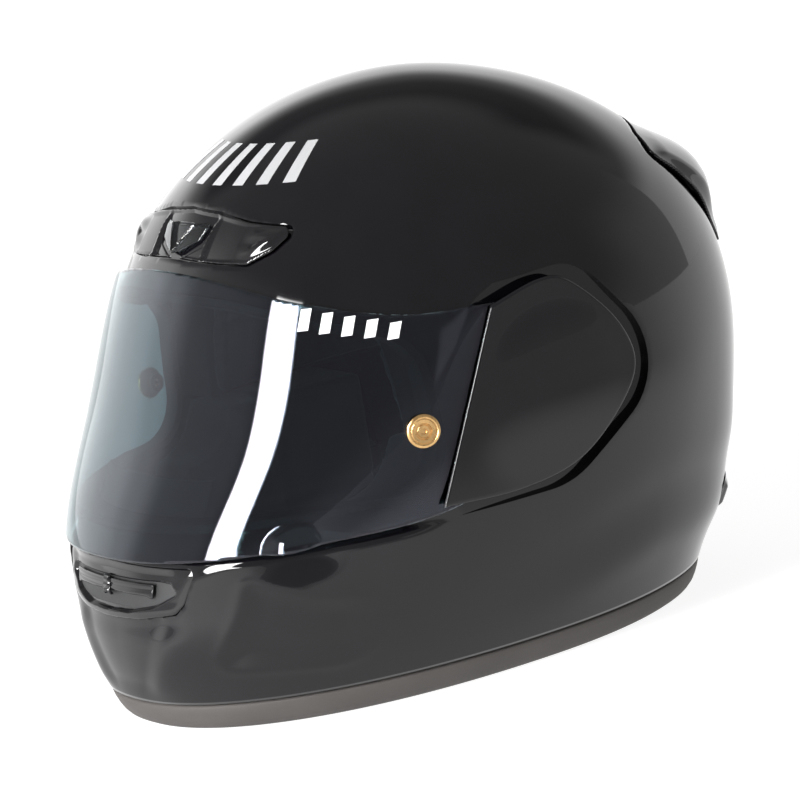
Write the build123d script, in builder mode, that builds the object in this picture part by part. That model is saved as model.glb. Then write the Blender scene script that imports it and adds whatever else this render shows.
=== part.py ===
from build123d import *
import os
from math import cos, pi, radians, sin

import numpy as np

os.makedirs("parts", exist_ok=True)

# Full-face helmet at real size, in millimetres. +X is the wearer's left, -Y the front, +Z up.
# The origin is on the ground under the middle of the helmet, which rests on its rubber rim.

# ---------------------------------------------------------------- the form of the helmet
# Each station: height, front reach, rear reach, half width, y of the widest point, and how square
# the plan is in front and behind (2 is an ellipse).
STATIONS = np.array(
    [
        (-70.0, -139.0, 109.0, 78.0, -2.0, 2.20, 2.15),
        (0.0, -155.0, 126.5, 94.0, -1.0, 2.20, 2.15),
        (15.0, -160.0, 131.0, 101.0, -1.0, 2.20, 2.15),
        (45.0, -163.5, 147.5, 112.0, 1.0, 2.30, 2.15),
        (85.0, -156.0, 159.0, 121.0, 3.0, 2.30, 2.10),
        (125.0, -136.0, 164.0, 125.0, 5.0, 2.25, 2.10),
        (158.0, -122.0, 160.5, 122.0, 7.0, 2.20, 2.10),
        (192.0, -107.0, 146.5, 110.0, 9.0, 2.15, 2.10),
        (221.0, -85.0, 120.0, 87.0, 11.0, 2.10, 2.05),
        (241.0, -57.0, 87.0, 61.0, 13.0, 2.05, 2.05),
        (253.0, -25.0, 52.5, 33.0, 15.0, 2.00, 2.00),
        (257.5, 17.0, 17.0, 0.0, 17.0, 2.00, 2.00),
    ]
)
CROWN_Y = STATIONS[-1, 1]
CROWN_Z = STATIONS[-1, 0]
LOW_LEVELS = (0.0, 15.0, 45.0, 85.0, 125.0, 158.0, 192.0)
CROWN_DROPS = (60.0, 38.0, 22.0, 10.0, 3.0, 0.3)  # levels below the crown of each form
SECTION_POINTS = 28

# ---------------------------------------------------------------- layers, from the outside in
SHELL_T = 4.0
LAYER_GAP = 0.4
EPS_INSET = SHELL_T + LAYER_GAP
EPS_INNER = 32.0
PAD_INSET = EPS_INNER + LAYER_GAP
PAD_INNER = 42.0
VISOR_OUT = -3.8  # a negative inset lies outside the shell
VISOR_IN = -1.6
RIM_H = 12.6
SHELL_BOTTOM = 13.4

# ---------------------------------------------------------------- side pods, along X
PIVOT_Y = 0.0
PIVOT_Z = 130.0
POD_FLOOR_X = 116.2
BASE_TOP_X = 119.2
VISOR_FLAT_IN_X = 119.5
VISOR_FLAT_OUT_X = 121.5
COVER_IN_X = 121.9
COVER_OUT = -1.8
ARM_R = 36.0
HUB_R = 12.0
RUNNING = 0.05
BASE_R = 32.0
BIG = 400.0  # larger than the helmet, for cutting tools


def hermite(knots, values, end_slope=None):
    """A smooth curve through values at knots, as a function of the knot parameter."""
    slopes = np.gradient(values, knots, edge_order=2)
    if end_slope is not None:
        slopes[-1] = end_slope

    def at(t):
        i = np.clip(np.searchsorted(knots, t) - 1, 0, len(knots) - 2)
        h = knots[i + 1] - knots[i]
        s = (t - knots[i]) / h
        return (
            (1 + 2 * s) * (1 - s) ** 2 * values[i]
            + s * (1 - s) ** 2 * h * slopes[i]
            + s * s * (3 - 2 * s) * values[i + 1]
            + s * s * (s - 1) * h * slopes[i + 1]
        )

    return at


def profiles():
    """Dense samples of height, front, rear and half width up the form, and of its shape values."""
    z, front, rear, width = STATIONS[:, :4].T
    across = np.hypot(np.diff(z), np.diff(width))
    steps = np.hypot(across, 0.5 * np.hypot(np.diff(front), np.diff(rear)))
    knots = np.concatenate([[0.0], np.cumsum(steps)])
    t = np.linspace(0.0, knots[-1], 1200)
    height = hermite(knots, z, 0.0)(t)
    outer = [hermite(knots, values)(t) for values in (CROWN_Y - front, rear - CROWN_Y, width)]
    shape = [hermite(knots, STATIONS[:, column])(t) for column in (4, 5, 6)]
    return t, height, outer, shape


PARAM, HEIGHT, OUTER, SHAPE = profiles()


def reach(z, inset, which):
    """How far the form, moved inwards by inset, reaches at height z: 0 front, 1 rear, 2 side."""
    q = OUTER[which]
    dq, dz = np.gradient(q, PARAM), np.gradient(HEIGHT, PARAM)
    size = np.hypot(dq, dz)
    moved_q = q - inset * dz / size
    moved_z = HEIGHT + inset * dq / size
    order = np.argsort(moved_z)
    return float(np.interp(z, moved_z[order], moved_q[order]))


def section_points(z, inset):
    """Points round the form's plan at height z, starting at the rear."""
    front, rear, side = (max(reach(z, inset, k), 1.0) for k in range(3))
    widest, n_front, n_rear = (float(np.interp(z + inset * (z > 125), HEIGHT, s)) for s in SHAPE)
    points = []
    for k in range(SECTION_POINTS):
        a = pi + 2 * pi * k / SECTION_POINTS
        n = n_front if cos(a) > 0 else n_rear
        x = side * np.sign(sin(a)) * abs(sin(a)) ** (2 / n)
        along = widest - (CROWN_Y - front) if cos(a) > 0 else (CROWN_Y + rear) - widest
        y = widest - along * np.sign(cos(a)) * abs(cos(a)) ** (2 / n)
        points.append((float(x), float(y)))
    return points


def side_x(y, z, inset=0.0):
    """Half width of the form at y and z."""
    front, rear, side = (reach(z, inset, k) for k in range(3))
    widest, n_front, n_rear = (float(np.interp(z, HEIGHT, s)) for s in SHAPE)
    along, n = (widest - CROWN_Y + front, n_front) if y < widest else (CROWN_Y + rear - widest, n_rear)
    return side * (1 - min(abs(y - widest) / along, 1.0) ** n) ** (1 / n)


MADE = {}


def form(inset):
    """The solid helmet form, moved inwards all over by inset."""
    if inset not in MADE:
        crown = CROWN_Z - inset
        levels = [z for z in LOW_LEVELS if z < crown - 70] + [crown - drop for drop in CROWN_DROPS]
        with BuildPart() as solid:
            for z in levels:
                with BuildSketch(Plane.XY.offset(z)):
                    with BuildLine():
                        Spline(section_points(z, inset), periodic=True)
                    make_face()
            loft()
        MADE[inset] = solid.part
    return MADE[inset]


def block(x, y, z, mode):
    """A box between pairs of limits, for keeping or cutting a region."""
    with Locations((sum(x) / 2, sum(y) / 2, sum(z) / 2)):
        Box(x[1] - x[0], y[1] - y[0], z[1] - z[0], mode=mode)


# ---------------------------------------------------------------- outlines seen from the side
with BuildSketch(Plane.YZ) as eyeport_outline:
    with BuildLine():
        FilletPolyline(
            (-180, 196), (-106, 184), (-84, 171), (-52, 163), (-52, 93), (-180, 89),
            radius=(30, 30, 24, 24), close=False,
        )
        Line((-180, 89), (-180, 196))
    make_face()

arm_low, arm_high = radians(-112), radians(103)
arm_points = [
    (PIVOT_Y + ARM_R * cos(a), PIVOT_Z + ARM_R * sin(a)) for a in (arm_low, 0.0, arm_high)
]
with BuildSketch(Plane.YZ) as visor_outline:
    with BuildLine():
        Spline((-180, 77.5), (-110, 81.5), (-58, 84.5), arm_points[0])
        ThreePointArc(*arm_points)
        Spline(
            arm_points[2], (-22, 167.4), (-57, 170), (-90, 181), (-109, 194), (-128, 210)
        )
        Polyline((-128, 210), (-180, 210), (-180, 77.5))
    make_face()

with BuildSketch(Plane.YZ) as cover_outline:
    with BuildLine():
        seam = Line((-21, 166.5), (-60, 87.5))
        Spline(
            seam @ 1, (-20, 85.3), (12, 91), (38, 110),
            (47.6, 127), (40, 147.5), (20, 168), (5, 172), seam @ 0,
        )
    make_face()

with BuildSketch(Plane.YZ) as pod_outline:
    with BuildLine():
        FilletPolyline(
            (-56, 80.5), (8, 80.5), (58, 112), (56, 140), (28, 175.5), (-56, 173),
            radius=(40, 28, 36, 26),
        )
        Line((-56, 173), (-56, 80.5))
    make_face()


def pod_prism(low_x, grow, side, mode):
    """The pod outline grown by grow, from x = low_x outwards, on one side."""
    with BuildSketch(Plane.YZ.offset(side * low_x)) as grown:
        add(pod_outline.sketch_local)
        if grow:
            offset(amount=grow)
    extrude(grown.sketch, amount=side * 30, mode=mode)


# ---------------------------------------------------------------- outlines seen from the front
with BuildSketch(Plane.XZ) as brow_outline:
    with BuildLine():
        left = Polyline(
            (0, 198.5), (40, 196.5), (50, 196), (59, 200.5), (63.5, 207),
            (60, 210.5), (42, 213), (22, 217), (0, 218.5),
        )
        mirror(left, about=Plane.YZ)
    make_face()

with BuildSketch(Plane.XZ) as chin_vent_outline:
    with BuildLine():
        left = Polyline((0, 77.5), (57, 76), (50, 60), (45, 55.5), (24, 52.5), (0, 51.5))
        mirror(left, about=Plane.YZ)
    make_face()


def front_prism(outline, grow, mode):
    """An outline seen from the front, grown by grow, through the front half of the helmet."""
    with BuildSketch(Plane.XZ) as grown:
        add(outline.sketch_local)
        if grow:
            offset(amount=grow)
    extrude(grown.sketch, amount=200, mode=mode)


def both_sides(name, side):
    return f"{name}_{'left' if side > 0 else 'right'}"


def finish(name, solid):
    solid.label = name
    export_step(solid, f"parts/{name}.step")


# ================================================================ outer shell
POST_Y, POST_Z = -62.0, 121.6
BROW_POCKET = 2.4
CHIN_POCKET = 2.9
AIR_HOLE_R = 4.0
BROW_HOLES_X = (-12.0, 12.0)
CHIN_SLOT = (27.0, 57.5, 62.5)  # half width, low, high
SCREW_R = 2.0
SCREW_RING_R = 22.0
SCREW_ANGLES = (90.0, 210.0, 330.0)
RIVET_Y, RIVET_Z, RIVET_R = 34.0, 60.0, 2.5
SHELL_INNER_X = side_x(RIVET_Y, RIVET_Z, SHELL_T)

with BuildPart() as shell_cavity:
    add(form(SHELL_T))
    for side in (1, -1):
        pod_prism(POD_FLOOR_X - SHELL_T, SHELL_T, side, Mode.SUBTRACT)

with BuildPart() as brow_pocket:
    add(form(0.0))
    add(form(BROW_POCKET), mode=Mode.SUBTRACT)
    front_prism(brow_outline, 0.4, Mode.INTERSECT)

with BuildPart() as chin_pocket:
    add(form(0.0))
    add(form(CHIN_POCKET), mode=Mode.SUBTRACT)
    front_prism(chin_vent_outline, 0.4, Mode.INTERSECT)

with BuildPart() as outer_shell:
    add(form(0.0))
    block((-BIG, BIG), (-BIG, BIG), (-BIG, SHELL_BOTTOM), Mode.SUBTRACT)
    for side in (1, -1):
        pod_prism(POD_FLOOR_X, 0, side, Mode.SUBTRACT)
    add(brow_pocket.part, mode=Mode.SUBTRACT)
    add(chin_pocket.part, mode=Mode.SUBTRACT)
    add(shell_cavity.part, mode=Mode.SUBTRACT)
    extrude(eyeport_outline.sketch, amount=BIG, both=True, mode=Mode.SUBTRACT)
    with BuildSketch(Plane.XZ):
        with Locations(*[(x, 206) for x in BROW_HOLES_X]):
            Circle(AIR_HOLE_R)
        for side in (1, -1):
            with Locations((side * CHIN_SLOT[0] / 2 + side * 2, (CHIN_SLOT[1] + CHIN_SLOT[2]) / 2)):
                Rectangle(CHIN_SLOT[0] - 4, CHIN_SLOT[2] - CHIN_SLOT[1])
    extrude(amount=200, mode=Mode.SUBTRACT)
    for side in (1, -1):
        with BuildSketch(Plane.YZ.offset(side * 100)):
            with Locations((PIVOT_Y, PIVOT_Z)):
                with PolarLocations(SCREW_RING_R, 3, start_angle=SCREW_ANGLES[0]):
                    Circle(SCREW_R + RUNNING)
        extrude(amount=side * 30, mode=Mode.SUBTRACT)
        with BuildSketch(Plane.YZ.offset(side * (SHELL_INNER_X - 3))):
            with Locations((RIVET_Y, RIVET_Z)):
                Circle(RIVET_R + RUNNING)
        extrude(amount=side * 5.6, mode=Mode.SUBTRACT)
finish("outer_shell", outer_shell.part)

# ================================================================ rim and eyeport rubbers
LIP_H = 22.0
RIM_DEPTH = 12.0
with BuildPart() as bottom_trim:
    add(form(0.3))
    add(form(RIM_DEPTH), mode=Mode.SUBTRACT)
    block((-BIG, BIG), (-BIG, BIG), (0, RIM_H), Mode.INTERSECT)
    fillet(bottom_trim.faces().sort_by(Axis.Z)[0].outer_wire().edges(), 2.5)
with BuildPart() as rim_lip:
    add(form(EPS_INSET))
    add(form(SHELL_T + 3.2), mode=Mode.SUBTRACT)
    block((-BIG, BIG), (-BIG, BIG), (RIM_H, LIP_H), Mode.INTERSECT)
with BuildPart() as bottom_trim_whole:
    add(bottom_trim.part)
    add(rim_lip.part)
finish("bottom_trim", bottom_trim_whole.part)

with BuildPart() as eyeport_gasket:
    add(form(-0.8))
    add(form(9.0), mode=Mode.SUBTRACT)
    with BuildSketch(Plane.YZ):
        add(eyeport_outline.sketch_local)
        offset(amount=-0.1)
        offset(eyeport_outline.sketch_local, amount=-3.6, mode=Mode.SUBTRACT)
    extrude(amount=BIG, both=True, mode=Mode.INTERSECT)
finish("eyeport_gasket", eyeport_gasket.part)

# ================================================================ liners and pads
SIDE_LOW_Z = 114.0
REAR_LOW_Z = 55.0
CROWN_FRONT_Z = 189.0
REAR_Y = 48.0
TEMPLE_Y = -50.0


def crown_region(margin):
    """Keeps what lies above the eyeport, above the cheeks and down to the nape."""
    block((-BIG, BIG), (-BIG, TEMPLE_Y + margin), (-BIG, CROWN_FRONT_Z + margin), Mode.SUBTRACT)
    block((-BIG, BIG), (-BIG, REAR_Y + margin), (-BIG, SIDE_LOW_Z + margin), Mode.SUBTRACT)
    block((-BIG, BIG), (-BIG, BIG), (-BIG, REAR_LOW_Z + margin), Mode.SUBTRACT)


with BuildPart() as eps_liner:
    add(form(EPS_INSET))
    add(form(EPS_INNER), mode=Mode.SUBTRACT)
    for side in (1, -1):
        pod_prism(POD_FLOOR_X - EPS_INSET, EPS_INSET, side, Mode.SUBTRACT)
    crown_region(0)
    with BuildSketch(Plane.XZ):
        with Locations(*[(x, 206) for x in BROW_HOLES_X]):
            Circle(AIR_HOLE_R)
    extrude(amount=200, mode=Mode.SUBTRACT)
finish("eps_liner", eps_liner.part)

with BuildPart() as crown_pad:
    add(form(PAD_INSET))
    add(form(PAD_INNER), mode=Mode.SUBTRACT)
    crown_region(3)
finish("crown_pad", crown_pad.part)

CHIN_REAR_Y = -80.0
with BuildPart() as chin_bar_eps:
    add(form(EPS_INSET + 3.2))
    add(form(24.0), mode=Mode.SUBTRACT)
    block((-BIG, BIG), (-BIG, CHIN_REAR_Y), (23, 84), Mode.INTERSECT)
finish("chin_bar_eps", chin_bar_eps.part)

with BuildPart() as neck_roll:
    add(form(EPS_INSET + 3.2))
    add(form(30.0), mode=Mode.SUBTRACT)
    block((-BIG, BIG), (REAR_Y, BIG), (15, 52), Mode.INTERSECT)
finish("neck_roll", neck_roll.part)

CHEEK_X = 65.0
CHEEK_Y = (-79.0, 20.0)
CHEEK_Z = (15.0, 111.0)
SNAP_R = 6.0
SNAP_T = 5.0
SNAPS_YZ = ((-48.0, 48.0), (-8.0, 48.0), (-25.0, 92.0))


def snap_centres(side):
    """Where the snaps' outer faces lie on one side."""
    return [(side * (side_x(y, z, SHELL_T + 3.2) - 2.0), y, z) for y, z in SNAPS_YZ]


def snap_studs(side, radius, depth, mode):
    for x, y, z in snap_centres(side):
        with Locations(Location((x - side * depth / 2, y, z), (0, 90, 0))):
            Cylinder(radius, depth, mode=mode)


for side in (1, -1):
    with BuildPart() as cheek_pad:
        add(form(EPS_INSET + 3.2))
        pod_prism(POD_FLOOR_X - EPS_INSET - 1, EPS_INSET + 1, side, Mode.SUBTRACT)
        block((CHEEK_X, BIG) if side > 0 else (-BIG, -CHEEK_X), CHEEK_Y, CHEEK_Z, Mode.INTERSECT)
        eyeport_room = offset(eyeport_outline.sketch, amount=3, mode=Mode.PRIVATE)
        extrude(eyeport_room, amount=BIG, both=True, mode=Mode.SUBTRACT)
        for x, y, z in snap_centres(side):
            with Locations(Location((x + side * 10, y, z), (0, 90, 0))):
                Cylinder(SNAP_R + 0.3, 20 + 2 * (SNAP_T + 0.3), mode=Mode.SUBTRACT)
    finish(both_sides("cheek_pad", side), cheek_pad.part)

with BuildPart() as cheek_pad_snaps:
    for side in (1, -1):
        snap_studs(side, SNAP_R, SNAP_T, Mode.ADD)
finish("cheek_pad_snaps", cheek_pad_snaps.part)

# ================================================================ brow vent
BROW_SLIDE = Vector(0, 0.62, 0.785)
BROW_BAY = (20.0, 200.5, 217.0)  # half width, low, high
with BuildPart() as brow_vent_housing:
    add(form(-0.3))
    add(form(BROW_POCKET - 0.2), mode=Mode.SUBTRACT)
    front_prism(brow_outline, 0, Mode.INTERSECT)
    with BuildSketch(Plane.XZ):
        with Locations((0, (BROW_BAY[1] + BROW_BAY[2]) / 2)):
            Rectangle(2 * BROW_BAY[0], BROW_BAY[2] - BROW_BAY[1])
    extrude(amount=200, mode=Mode.SUBTRACT)
with BuildPart() as brow_floor:
    add(form(BROW_POCKET - 1.2))
    add(form(BROW_POCKET - 0.2), mode=Mode.SUBTRACT)
    front_prism(brow_outline, 0, Mode.INTERSECT)
    with BuildSketch(Plane.XZ):
        with Locations(*[(x, 206) for x in BROW_HOLES_X]):
            Circle(AIR_HOLE_R)
    extrude(amount=200, mode=Mode.SUBTRACT)
with BuildPart() as brow_housing_whole:
    add(brow_vent_housing.part)
    add(brow_floor.part)
finish("brow_vent_housing", brow_housing_whole.part)

with BuildPart() as brow_vent_slider:
    add(form(-0.4))
    add(form(BROW_POCKET - 1.6), mode=Mode.SUBTRACT)
    with BuildSketch(Plane.XZ):
        Polygon(
            (-19.5, 212), (19.5, 212), (17, 206), (5, 201), (-5, 201), (-17, 206), align=None
        )
    extrude(amount=200, mode=Mode.INTERSECT)
finish("brow_vent_slider", brow_vent_slider.part)

# ================================================================ chin vent
MOUTH = (38.0, 56.0, 71.0)  # half width, low, high
with BuildPart() as chin_vent_shell:
    add(form(-0.8))
    add(form(CHIN_POCKET - 0.2), mode=Mode.SUBTRACT)
    front_prism(chin_vent_outline, 0, Mode.INTERSECT)
    with BuildSketch(Plane.XZ):
        with Locations((0, (MOUTH[1] + MOUTH[2]) / 2)):
            RectangleRounded(2 * MOUTH[0], MOUTH[2] - MOUTH[1], 5)
    extrude(amount=200, mode=Mode.SUBTRACT)
with BuildPart() as chin_vent_floor:
    add(form(CHIN_POCKET - 1.2))
    add(form(CHIN_POCKET - 0.2), mode=Mode.SUBTRACT)
    front_prism(chin_vent_outline, 0, Mode.INTERSECT)
    with BuildSketch(Plane.XZ):
        for side in (1, -1):
            with Locations((side * CHIN_SLOT[0] / 2 + side * 2, (CHIN_SLOT[1] + CHIN_SLOT[2]) / 2)):
                Rectangle(CHIN_SLOT[0] - 4, CHIN_SLOT[2] - CHIN_SLOT[1])
    extrude(amount=200, mode=Mode.SUBTRACT)
with BuildPart() as chin_housing_whole:
    add(chin_vent_shell.part)
    add(chin_vent_floor.part)
finish("chin_vent_housing", chin_housing_whole.part)

with BuildPart() as chin_vent_slider:
    add(form(-0.4))
    add(form(CHIN_POCKET - 1.6), mode=Mode.SUBTRACT)
    with BuildSketch(Plane.XZ):
        with Locations((0, 66.5)):
            Rectangle(68, 5)
    extrude(amount=200, mode=Mode.INTERSECT)
with BuildPart() as chin_vent_knob:
    add(form(-2.0))
    add(form(CHIN_POCKET - 1.6), mode=Mode.SUBTRACT)
    with BuildSketch(Plane.XZ):
        with Locations((0, 66.0)):
            RectangleRounded(6.5, 9.4, 1.2)
    extrude(amount=200, mode=Mode.INTERSECT)
with BuildPart() as chin_slider_whole:
    add(chin_vent_slider.part)
    add(chin_vent_knob.part)
finish("chin_vent_slider", chin_slider_whole.part)

with BuildPart() as chin_vent_mesh:
    add(form(EPS_INSET))
    add(form(EPS_INSET + 1.0), mode=Mode.SUBTRACT)
    with BuildSketch(Plane.XZ):
        with Locations((0, 60)):
            Rectangle(60, 12)
        with Locations((0, 60)):
            with GridLocations(5, 4, 11, 2):
                Circle(1.2, mode=Mode.SUBTRACT)
    extrude(amount=200, mode=Mode.INTERSECT)
finish("chin_vent_mesh", chin_vent_mesh.part)

# ================================================================ rear spoiler and neck vent
SPOILER_PROUD = 13.0
with BuildPart() as rear_spoiler:
    with BuildSketch(Plane.YZ):
        with BuildLine():
            Spline(
                (96, 219), (118, 213), (141, 201), (156, 189),
                (162, 180), (162.5, 172), (160.5, 163), (161.5, 153),
            )
            Polyline((161.5, 153), (90, 153), (90, 219), (96, 219))
        make_face()
    extrude(amount=90, both=True)
    with BuildSketch(Plane.XZ):
        Polygon(
            (-49, 213), (49, 213), (73, 206), (72, 190),
            (59, 152), (-59, 152), (-72, 190), (-73, 206), align=None,
        )
    extrude(amount=-200, mode=Mode.INTERSECT)
    add(form(-SPOILER_PROUD), mode=Mode.INTERSECT)
    add(form(-0.3), mode=Mode.SUBTRACT)
finish("rear_spoiler", rear_spoiler.part)

with BuildPart() as neck_vent:
    add(form(-3.0))
    add(form(-0.2), mode=Mode.SUBTRACT)
    with BuildSketch(Plane.XZ):
        Polygon((-68, 46), (68, 46), (62, 32), (-62, 32), align=None)
        for x in (-42, -14, 14, 42):
            with Locations((x, 38)):
                RectangleRounded(20, 5, 2, mode=Mode.SUBTRACT)
    extrude(amount=-200, mode=Mode.INTERSECT)
finish("neck_vent", neck_vent.part)

# ================================================================ visor pivots and covers
for side in (1, -1):
    with BuildPart() as pivot_base:
        with BuildSketch(Plane.YZ.offset(side * (POD_FLOOR_X + 0.2))):
            with Locations((PIVOT_Y, PIVOT_Z)):
                Circle(BASE_R)
        extrude(amount=side * (BASE_TOP_X - POD_FLOOR_X - 0.2))
        with BuildSketch(Plane.YZ.offset(side * BASE_TOP_X)):
            with Locations((PIVOT_Y, PIVOT_Z)):
                Circle(HUB_R)
        extrude(amount=side * (VISOR_FLAT_OUT_X + 0.1 - BASE_TOP_X))
        with BuildSketch(Plane.YZ.offset(side * POD_FLOOR_X)):
            with Locations((PIVOT_Y, PIVOT_Z)):
                with PolarLocations(SCREW_RING_R, 3, start_angle=SCREW_ANGLES[0]):
                    Circle(SCREW_R + RUNNING)
        extrude(amount=side * 10, mode=Mode.SUBTRACT)
        with BuildSketch(Plane.YZ.offset(side * (BASE_TOP_X - 1.6))):
            with Locations((PIVOT_Y, PIVOT_Z)):
                with PolarLocations(SCREW_RING_R, 3, start_angle=SCREW_ANGLES[0]):
                    Circle(4.0)
        extrude(amount=side * 10, mode=Mode.SUBTRACT)
    finish(both_sides("pivot_base", side), pivot_base.part)

with BuildPart() as base_screws:
    for side in (1, -1):
        with BuildSketch(Plane.YZ.offset(side * (POD_FLOOR_X - SHELL_T + 0.3))):
            with Locations((PIVOT_Y, PIVOT_Z)):
                with PolarLocations(SCREW_RING_R, 3, start_angle=SCREW_ANGLES[0]):
                    Circle(SCREW_R)
        extrude(amount=side * (BASE_TOP_X - POD_FLOOR_X + SHELL_T - 0.4))
        with BuildSketch(Plane.YZ.offset(side * (BASE_TOP_X - 1.5))):
            with Locations((PIVOT_Y, PIVOT_Z)):
                with PolarLocations(SCREW_RING_R, 3, start_angle=SCREW_ANGLES[0]):
                    Circle(3.8)
                    Rectangle(4.5, 1.0, mode=Mode.SUBTRACT)
        extrude(amount=side * 1.4)
finish("base_screws", base_screws.part)

for side in (1, -1):
    out = (POD_FLOOR_X + 0.4, BIG) if side > 0 else (-BIG, -POD_FLOOR_X - 0.4)
    under = (0, COVER_IN_X) if side > 0 else (-COVER_IN_X, 0)
    with BuildPart() as side_cover:
        add(form(COVER_OUT))
        extrude(cover_outline.sketch, amount=BIG, both=True, mode=Mode.INTERSECT)
        block(out, (-BIG, BIG), (0, BIG), Mode.INTERSECT)
        with BuildSketch(Plane.YZ):
            with Locations((PIVOT_Y, PIVOT_Z)):
                Circle(ARM_R + 0.8)
        extrude(amount=side * COVER_IN_X, mode=Mode.SUBTRACT)
        block(under, (-BIG, 26), (PIVOT_Z, BIG), Mode.SUBTRACT)
        block(under, (-BIG, 0), (-BIG, PIVOT_Z + 1), Mode.SUBTRACT)
    finish(both_sides("side_cover", side), side_cover.part)

# ================================================================ visor and its posts
LIFT_TAB = (86.6, -111.2, 80.0)
LIFT_TAB_R = 13.0
POST_HEAD_R = 7.3
POST_SHANK_R = 2.0
POST_TURN = 19.0  # how far the visor's normal at the post turns towards the front
post_x = side_x(POST_Y, POST_Z, VISOR_OUT)


def post_plane(side, out):
    """A plane across the post, out from the visor's outer face."""
    a = radians(POST_TURN)
    normal = Vector(side * cos(a), -sin(a), 0)
    return Plane(origin=Vector(side * post_x, POST_Y, POST_Z) + normal * out, z_dir=normal)


with BuildPart() as visor_core:
    add(form(VISOR_IN))
    block((-VISOR_FLAT_IN_X, VISOR_FLAT_IN_X), (-BIG, BIG), (-BIG, BIG), Mode.INTERSECT)

with BuildPart() as visor:
    add(form(VISOR_OUT))
    block((-VISOR_FLAT_OUT_X, VISOR_FLAT_OUT_X), (-BIG, BIG), (-BIG, BIG), Mode.INTERSECT)
    with Locations(LIFT_TAB):
        Sphere(LIFT_TAB_R)
    add(visor_core.part, mode=Mode.SUBTRACT)
    with BuildSketch(Plane.YZ):
        add(visor_outline.sketch_local)
        with Locations((PIVOT_Y, PIVOT_Z)):
            Circle(HUB_R + RUNNING, mode=Mode.SUBTRACT)
    extrude(amount=BIG, both=True, mode=Mode.INTERSECT)
    for side in (1, -1):
        with BuildSketch(post_plane(side, -8)):
            Circle(POST_SHANK_R + RUNNING)
        extrude(amount=16, mode=Mode.SUBTRACT)
finish("visor", visor.part)

with BuildPart() as tear_off_posts:
    for side in (1, -1):
        with BuildSketch(post_plane(side, -4.2)):
            Circle(POST_SHANK_R)
        extrude(amount=5)
        with BuildSketch(post_plane(side, 0.6)):
            Circle(POST_HEAD_R)
        extrude(amount=2.0)
finish("tear_off_posts", tear_off_posts.part)

with BuildPart() as tear_off_nuts:
    for side in (1, -1):
        with BuildSketch(post_plane(side, -4.1)):
            Circle(4.2)
            Circle(POST_SHANK_R + RUNNING, mode=Mode.SUBTRACT)
        extrude(amount=1.2)
finish("tear_off_nuts", tear_off_nuts.part)

# ================================================================ breath guard and chin curtain
with BuildPart() as breath_guard:
    add(form(10.0))
    add(form(12.0), mode=Mode.SUBTRACT)
    block((-46, 46), (-BIG, -100), (85, 108), Mode.INTERSECT)
finish("breath_guard", breath_guard.part)

with BuildPart() as chin_curtain:
    add(form(RIM_DEPTH + 0.4))
    block((-BIG, BIG), (-BIG, -102), (7.5, 9.5), Mode.INTERSECT)
    with Locations((0, -66, 8.5)):
        Cylinder(60, 10, mode=Mode.SUBTRACT)
finish("chin_curtain", chin_curtain.part)

# ================================================================ chin strap
STRAP_W = 22.0
STRAP_T = 1.8
PLATE_T = 2.0
PLATE_INSET = SHELL_T + 0.2
RING_WIRE = 3.0
EYE_R = 3.0
RING_BARS = ((44.0, 3.3), (48.4, 6.9))  # the D rings' bars on the right side: distance, height
RING_BOW = 20.0
FLOOR_Z = 1.2
strap_start_x = side_x(RIVET_Y + STRAP_W / 2, 46.0, PLATE_INSET + PLATE_T + 0.4) - STRAP_T / 2
STRAP_ENDS = {1: 14.0, -1: 46.0}


def strap_route(end_x):
    """The strap's middle line in XZ for the left side, from its anchor to its end on the ground."""
    low_z = FLOOR_Z + STRAP_T / 2
    return FilletPolyline(
        (strap_start_x, 66), (strap_start_x, 46), (71, 14), (56, low_z), (end_x, low_z),
        radius=(12, 14, 14),
    )


for side in (1, -1):
    with BuildPart() as strap:
        with BuildSketch(Plane.XZ.offset(-RIVET_Y)):
            with BuildLine():
                strap_route(STRAP_ENDS[side])
            trace(line_width=STRAP_T)
            if side < 0:
                with Locations(*RING_BARS):
                    Circle(EYE_R)
                with Locations(*RING_BARS):
                    Circle(RING_WIRE / 2 + 2 * RUNNING, mode=Mode.SUBTRACT)
        extrude(amount=STRAP_W / 2, both=True)
    solid = strap.part if side > 0 else mirror(strap.part, about=Plane.YZ)
    finish(both_sides("strap", side), solid)

SLEEVE_T = 3.0
for side in (1, -1):
    with BuildPart() as strap_pad:
        with BuildSketch(Plane.XZ.offset(-RIVET_Y)):
            with BuildLine():
                Line((strap_start_x - 7, 38), (76, 20.5))
            trace(line_width=STRAP_T + 0.4 + 2 * SLEEVE_T)
        extrude(amount=STRAP_W / 2 + 2.5, both=True)
        with BuildSketch(Plane.XZ.offset(-RIVET_Y)):
            with BuildLine():
                strap_route(STRAP_ENDS[side])
            trace(line_width=STRAP_T + 0.6)
        extrude(amount=STRAP_W / 2 + 0.4, both=True, mode=Mode.SUBTRACT)
    solid = strap_pad.part if side > 0 else mirror(strap_pad.part, about=Plane.YZ)
    finish(both_sides("strap_pad", side), solid)

with BuildPart() as anchor_plates:
    add(form(PLATE_INSET))
    add(form(PLATE_INSET + PLATE_T), mode=Mode.SUBTRACT)
    with BuildSketch(Plane.YZ):
        with Locations((RIVET_Y, RIVET_Z - 2)):
            RectangleRounded(24, 20, 3)
        with Locations((RIVET_Y, RIVET_Z)):
            Circle(RIVET_R + RUNNING, mode=Mode.SUBTRACT)
    extrude(amount=BIG, both=True, mode=Mode.INTERSECT)
finish("anchor_plates", anchor_plates.part)

with BuildPart() as anchor_rivets:
    for side in (1, -1):
        with BuildSketch(Plane.YZ.offset(side * (SHELL_INNER_X + 2.4))):
            with Locations((RIVET_Y, RIVET_Z)):
                Circle(RIVET_R)
        extrude(amount=-side * 5.2)
finish("anchor_rivets", anchor_rivets.part)


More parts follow.
